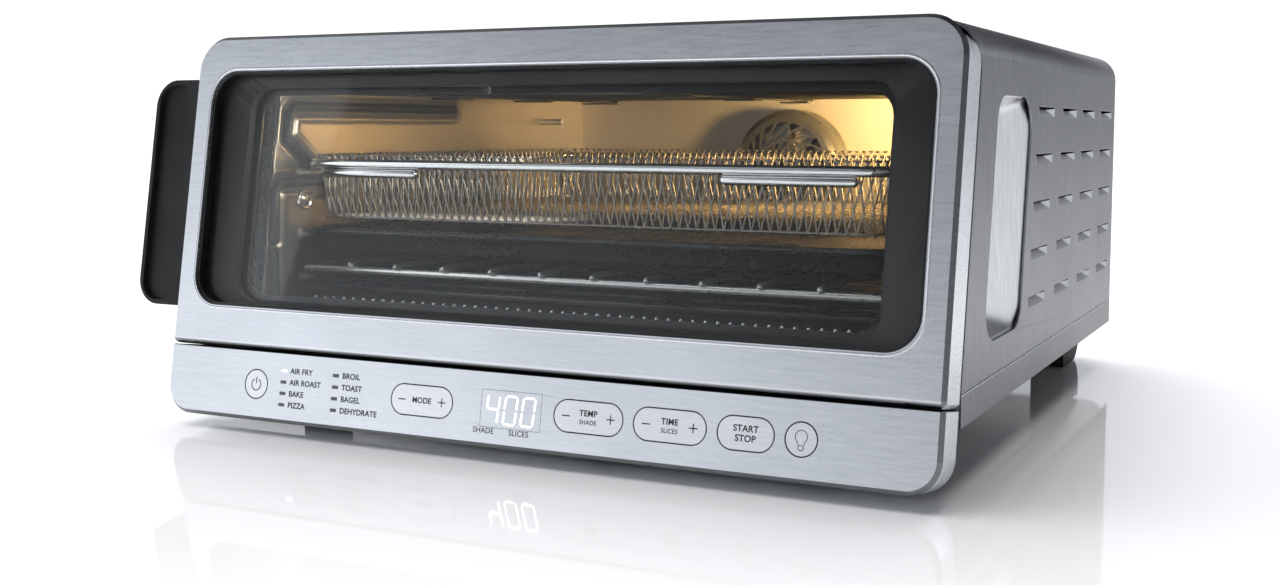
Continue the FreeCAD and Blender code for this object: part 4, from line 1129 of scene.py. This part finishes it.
def weld_rack():
    """Two long rods and two side rods, and ten rods across whose bent ends stand over the front rod."""
    low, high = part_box("wire_rack")
    frame_rod, cross_rod, cross_count = 2.0, 1.6, 10
    x, y = (low.x + 0.0022, high.x - 0.0022), (low.y + 0.0038, high.y - 0.0045)
    level = low.z + frame_rod * MM
    build = bmesh.new()
    for depth in y:
        sweep(build, [Vector((x[0], depth, level)), Vector((x[1], depth, level))], frame_rod, 14)
    for side in x:
        sweep(build, [Vector((side, y[0], level)), Vector((side, y[1], level))], frame_rod, 14)
    middle = (x[0] + x[1]) / 2
    rise = low.z + 0.0054
    for k in range(cross_count):
        across = middle + (-0.135 + 0.030 * k)
        sweep(build, [Vector((across, y[0] - 0.0022, rise - 0.0006)), Vector((across, y[0] + 0.003, rise)),
                      Vector((across, y[1] + 0.001, rise))], cross_rod, 12)
    made("rack_rods", build, RACK_STEEL, "rack", "chrome_wire", "wire_rack", smooth=True)


weld_rack()

# The sheet pan: pressed from one thin steel sheet and enamelled black. Its sides flare, and its edge is
# rolled outwards so that it is stiff and safe to hold.

BLACK_ENAMEL = enamel("black_enamel", (0.010, 0.010, 0.011), (0.03, 0.03, 0.03), 0.28)


def press_pan():
    """The profile runs from the rolled edge to the floor, as (inset, drop)."""
    low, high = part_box("sheet_pan")
    profile = ((1.6, -2.6), (0.5, -2.2), (0.1, -1.2), (0.5, -0.3), (1.5, 0.0), (4.2, 0.0), (5.6, -0.8),
               (6.3, -2.4), (8.2, -10.6), (9.6, -12.2), (12.0, -12.8))
    build = bmesh.new()
    loops = []
    for inset, drop in profile:
        reach = inset * MM
        loops.append(rounded_loop((low.x + reach, high.x - reach), (low.y + reach, high.y - reach),
                                  high.z + drop * MM, max(0.004, 0.016 - reach)))
    rings = loft(build, loops)
    build.faces.new(rings[-1])
    pan = made("sheet_pan_pressing", build, BLACK_ENAMEL, "basket", "black_enamel", "sheet_pan", smooth=True)
    thicken(pan, 0.6)


press_pan()

# The heat cover over the lower elements: a black enamelled plate, punched with rows of long round-ended
# slots that let the heat rise.


def slotted_plate(build, x, y, z, slots, steps=10):
    """A level plate cut by round-ended slots that run along x: each slot is (x0, x1, y middle, radius)."""
    rows = sorted({(mid, radius) for _, _, mid, radius in slots})
    turns = [math.pi * k / steps - math.pi / 2 for k in range(steps + 1)]
    edges = [y[0]]
    for mid, radius in rows:
        edges += [mid - radius, mid + radius]
    edges.append(y[1])
    for near, far in zip(edges[::2], edges[1::2]):
        corners = ((x[0], near, z), (x[1], near, z), (x[1], far, z), (x[0], far, z))
        build.faces.new([build.verts.new(corner) for corner in corners])
    for mid, radius in rows:
        ends = sorted((x0, x1) for x0, x1, m, _ in slots if m == mid)
        gaps = zip([None] + [x1 for _, x1 in ends], [x0 for x0, _ in ends] + [None])
        for left, right in gaps:
            outline = []
            for edge, side, corner in ((left, 1, x[0]), (right, -1, x[1])):
                if edge is None:
                    half = [(corner, mid - radius), (corner, mid + radius)]
                else:
                    half = [(edge - side * radius * (1 - math.cos(t)), mid + radius * math.sin(t))
                            for t in turns]
                outline += half[::-1] if side > 0 else half
            build.faces.new([build.verts.new((px, py, z)) for px, py in outline])


def press_heat_cover():
    """Eight rows of five slots, each slot given by its start and length along the row."""
    low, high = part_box("heat_cover")
    rows, first, pitch, half_slot = 8, 0.0155, 0.0335, 0.0125
    build = bmesh.new()
    slots = []
    for row in range(rows):
        mid = low.y + first + row * pitch
        for start, length in ((6, 34), (44, 78), (126, 78), (208, 78), (290, 28)):
            slots.append((low.x + start * MM, low.x + (start + length) * MM, mid, half_slot))
    slotted_plate(build, (low.x, high.x), (low.y, high.y), high.z - 0.0004, slots)
    bmesh.ops.remove_doubles(build, verts=build.verts, dist=1e-6)
    thicken(made("heat_cover_pressing", build, BLACK_ENAMEL, "oven", "black_enamel", "heat_cover"), 0.8)


press_heat_cover()

# The crumb tray: a plain aluminised sheet on the cavity's floor, its front edge turned up and finished
# with a row of small bright beads.

ALUMINISED = enamel("aluminised", (0.34, 0.33, 0.31), (0.44, 0.43, 0.41), 0.36, 260.0, 4e-6, 0.85)


def press_crumb_tray():
    low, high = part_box("crumb_tray")
    build = bmesh.new()
    floor, lip = low.z + 0.0005, low.z + 0.0034
    section = ((high.y, floor), (low.y + 0.0022, floor), (low.y + 0.0010, floor + 0.0006),
               (low.y + 0.0006, lip))
    lines = [[build.verts.new((x, y, z)) for x in (low.x, high.x)] for y, z in section]
    for near, far in zip(lines, lines[1:]):
        build.faces.new((near[0], near[1], far[1], far[0]))
    thicken(made("crumb_tray_pressing", build, ALUMINISED, "oven", "bright_steel", "crumb_tray"), 0.8)
    beads, first, pitch = 50, 0.0024, 0.0066
    build = bmesh.new()
    for k in range(beads):
        place = Matrix.Translation((low.x + first + k * pitch, low.y + 0.0008, lip + 0.0002))
        bmesh.ops.create_uvsphere(build, u_segments=10, v_segments=6, radius=0.0013, matrix=place)
    made("crumb_tray_beads", build, CHROME, "oven", "bright_steel", smooth=True)


press_crumb_tray()

# The cavity: sheets of warm grey aluminised steel, folded and spot-welded. The side walls are pressed
# with rails that carry the ware and with channels that stiffen them.

CAVITY_SKIN = enamel("cavity_skin", (0.31, 0.285, 0.25), (0.39, 0.36, 0.32), 0.34, 300.0, 4e-6, 0.75)
for piece in ("cavity_top", "cavity_floor", "cavity_back", "cavity_right_wall"):
    refinish(piece, CAVITY_SKIN)


def off_line(point, start, end):
    """How far a point is from a stretch of line, all in millimetres."""
    run = end - start
    share = max(0.0, min(1.0, (point - start).dot(run) / run.dot(run)))
    return (point - start - run * share).length


def press_wall():
    """The left wall, as (y, z) in millimetres from its lower front corner: channels, their shade painted by
    black cords laid in them, and three rails.
    """
    low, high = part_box("cavity_left_wall")
    inner = low.x + 0.0012
    long, tall = (high.y - low.y) / MM, (high.z - low.z) / MM
    channels = (((168, 107), (31, 107), (26, 103), (24, 90), (40, 76)),
                ((54, 66), (17, 66), (13.5, 62), (12, 36)),
                ((11, 28), (10.5, 4)))
    shelves = (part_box("basket_rim")[1].z - 0.0055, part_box("sheet_pan")[1].z - 0.002,
               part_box("wire_rack")[0].z - 0.001)
    rails = [(shelf - low.z) / MM for shelf in shelves]
    rail_start, rail_stop, rail_reach = 29.5, long - 12, 5.4
    step = 1.25
    columns, rows = int(long / step), int(tall / step)
    build = bmesh.new()
    grid = []
    for i in range(rows + 1):
        line = []
        for k in range(columns + 1):
            z = tall * i / rows
            y = z * LEAN + (long - z * LEAN) * k / columns
            here = Vector((y, z))
            away = min(off_line(here, Vector(a), Vector(b)) for c in channels for a, b in zip(c, c[1:]))
            sunk = 1 / (1 + math.exp((away - 4.4) * 2.2))
            bead = math.exp(-((away - 6.6) / 1.3) ** 2)
            ledge = 0.0
            if rail_start < y < rail_stop:
                ends = min(1.0, (y - rail_start) / 4, (rail_stop - y) / 4)
                ledge = max(math.exp(-abs((z - rail + 2.2) / 2.1) ** 4) for rail in rails) * ends
            push = rail_reach * ledge + (0.9 * bead - 1.0 * sunk) * (1 - ledge)
            line.append(build.verts.new((inner + push * MM, low.y + y * MM, low.z + z * MM)))
        grid.append(line)
    skin_over(build, grid)
    wall = made("pressed_wall", build, CAVITY_SKIN, "oven", "bright_steel", "cavity_left_wall", smooth=True)
    thicken(wall, 0.6)
    # Painted shade: black cords laid along the channels stand in for the shade down in them.
    channel_shade = enamel("channel_painted_shade", (0.012, 0.012, 0.012), (0.03, 0.03, 0.03), 0.4)
    build = bmesh.new()
    for channel in channels:
        sweep(build, [Vector((inner + 0.0002, low.y + y * MM, low.z + z * MM)) for y, z in channel], 2.9, 10)
    made("channel_shade_cords", build, channel_shade, "oven", "black_enamel", smooth=True)


press_wall()

# Fittings of the cavity: a chromed plug where the basket's stop is riveted to the left wall, and dark
# pressed brackets that hold the upper heaters to the ceiling.


def turn_plug():
    """A turned plug with a rolled flange and a cup in its middle."""
    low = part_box("cavity_left_wall")[0]
    centre = Vector((low.x + 0.0015, low.y + 0.0345, low.z + 0.0565))
    build = bmesh.new()
    section = ((0.0, 5.6), (1.0, 5.8), (1.9, 5.2), (2.1, 4.4), (1.5, 3.6), (1.4, 3.0), (2.2, 2.4), (2.3, 1.0))
    turns = [2 * math.pi * k / 28 for k in range(28)]
    rings = loft(build, [[centre + Vector((out, radius * math.cos(t), radius * math.sin(t))) * MM
                          for t in turns] for out, radius in section])
    build.faces.new(rings[0])
    build.faces.new(rings[-1])
    made("wall_plug", build, CHROME, "oven", "bright_steel", smooth=True)


turn_plug()


def fold_brackets():
    """Each bracket is a strap under the heaters, hung from the ceiling by a flange at each end."""
    low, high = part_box("upper_heaters")
    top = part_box("cavity_top")[0].z - 0.0004
    build = bmesh.new()
    strap, under = 0.007, low.z - 0.0009
    for across in (low.x + 0.052, low.x + 0.195):
        line = ((low.y - 0.016, top), (low.y - 0.006, top), (low.y - 0.004, under), (high.y + 0.004, under),
                (high.y + 0.006, top), (high.y + 0.016, top))
        edges = [[build.verts.new((x, y, z)) for x in (across, across + strap)] for y, z in line]
        for near, far in zip(edges, edges[1:]):
            build.faces.new((near[0], near[1], far[1], far[0]))
        for y in (low.y + 0.02, (low.y + high.y) / 2, high.y - 0.02):
            clip = [build.verts.new((across - 0.006 + dx, y + dy, under - 0.0012)) for dx, dy in
                    ((0, 0), (0.019, 0), (0.019, 0.014), (0, 0.014))]
            build.faces.new(clip)
    bracket = made("heater_brackets", build, BLACK_ENAMEL, "oven", "black_enamel")
    thicken(bracket, 0.9)
    round_over(bracket, 0.3)


fold_brackets()


def press_fan_guard():
    """A shallow black dish with two rings of slanting slots round a plain middle."""
    low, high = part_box("fan_guard")
    middle = (low + high) / 2
    build = bmesh.new()
    section = ((38.0, 21.6), (38.0, 6.0), (36.6, 2.6), (33.4, 0.6), (30.0, 0.3))
    blades, parts = 18, 4
    count = blades * parts
    turns = [2 * math.pi * k / count for k in range(count)]

    def circle_at(radius, back, swirl=0.0):
        return [build.verts.new((middle.x + radius * MM * math.cos(t + swirl), low.y + back * MM,
                                 middle.z + radius * MM * math.sin(t + swirl))) for t in turns]

    def ring_between(near, far, solid):
        for k in range(count):
            if k % parts in solid:
                build.faces.new((near[k], near[(k + 1) % count], far[(k + 1) % count], far[k]))

    every, spoke = range(parts), (0,)
    rings = [circle_at(radius, back) for radius, back in section]
    for near, far in zip(rings, rings[1:]):
        ring_between(near, far, every)
    last = rings[-1]
    for radius, swirl, solid in ((24.0, 0.28, spoke), (19.0, 0.55, spoke), (17.0, 0.6, every),
                                 (12.0, 0.95, spoke), (8.0, 1.3, spoke)):
        ring = circle_at(radius, 0.3, swirl)
        ring_between(last, ring, solid)
        last = ring
    build.faces.new(last)
    thicken(made("fan_guard_pressing", build, BLACK_ENAMEL, "oven", "black_enamel", "fan_guard"), 0.8)


press_fan_guard()

# The oven's lamp: a glass bulb in a cup behind a round glass lens, which is set into the right wall
# near the back. Its light is warm, and the ceiling throws some of it on the left wall.


def light_the_cavity():
    """The bulb's own warm light on the rear corner, and the glow that the ceiling sends back."""
    lens_low, lens_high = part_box("lamp_lens")
    lens = (lens_low + lens_high) / 2
    back_low, back_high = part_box("cavity_back")
    bulb = soft_box("oven_lamp", (lens_low.x - 0.012, lens.y, lens.z),
                    (lens.x - 0.11, back_low.y, back_high.z - 0.01), (0.03, 0.03), 1.7, (1.0, 0.62, 0.22))
    bulb.data.spread = math.radians(105)
    soft_box("ceiling_glow", (back_low.x + 0.16, lens.y - 0.16, back_high.z - 0.012),
             (back_low.x, lens.y - 0.10, lens.z - 0.01), (0.10, 0.06), 0.22, (1.0, 0.90, 0.76))


light_the_cavity()
for piece in ("lamp_lens", "lamp_bulb"):
    refinish(piece, CLEAR_GLASS)

# The rest of the oven's works: the frame and the fan are black enamelled, the heaters are dark sheathed
# tubes in ceramic bushes, and the boards, motor, probe and wool lie behind the walls.

for piece in ("cavity_mouth", "rear_panel", "base_pan"):
    refinish(piece, BLACK_ENAMEL)
    soften(piece, 0.3)
DARK_STEEL = brushed_steel("dark_steel", (300, 300, 300), (0.30, 0.29, 0.28), (0.20, 0.19, 0.18), 0.4, 2e-6)
for piece in ("fan_impeller", "upper_heaters", "lower_heaters", "lamp_housing"):
    refinish(piece, DARK_STEEL)
    soften(piece, 0.15)
ZINC_STEEL = brushed_steel("zinc_steel", (200, 200, 200), (0.72, 0.72, 0.70), (0.55, 0.55, 0.54), 0.35, 2e-6)
for piece in ("door_hinge_arms", "hinge_brackets", "hinge_pins", "glass_clips", "door_screws", "rear_screws",
              "fan_shaft", "fan_motor", "temperature_probe"):
    refinish(piece, ZINC_STEEL)
FOOT_RUBBER = moulding("foot_rubber", (0.010, 0.010, 0.010), (0.02, 0.02, 0.02), 0.6, 900.0)
for piece in ("front_feet", "rear_feet"):
    refinish(piece, FOOT_RUBBER)
    soften(piece, 0.8, 3)
refinish("door_gasket", moulding("silicone", (0.02, 0.02, 0.02), (0.03, 0.03, 0.03), 0.55, 700.0))
refinish("heater_bushes", moulding("ceramic", (0.75, 0.72, 0.66), (0.82, 0.80, 0.75), 0.4, 400.0, 4e-6))
refinish("insulation", moulding("glass_wool", (0.62, 0.60, 0.52), (0.80, 0.78, 0.70), 0.9, 300.0, 5e-4))
BOARD_GREEN = enamel("board_green", (0.012, 0.07, 0.03), (0.03, 0.12, 0.05), 0.35, 200.0)
for piece in ("control_board", "power_board"):
    refinish(piece, BOARD_GREEN)
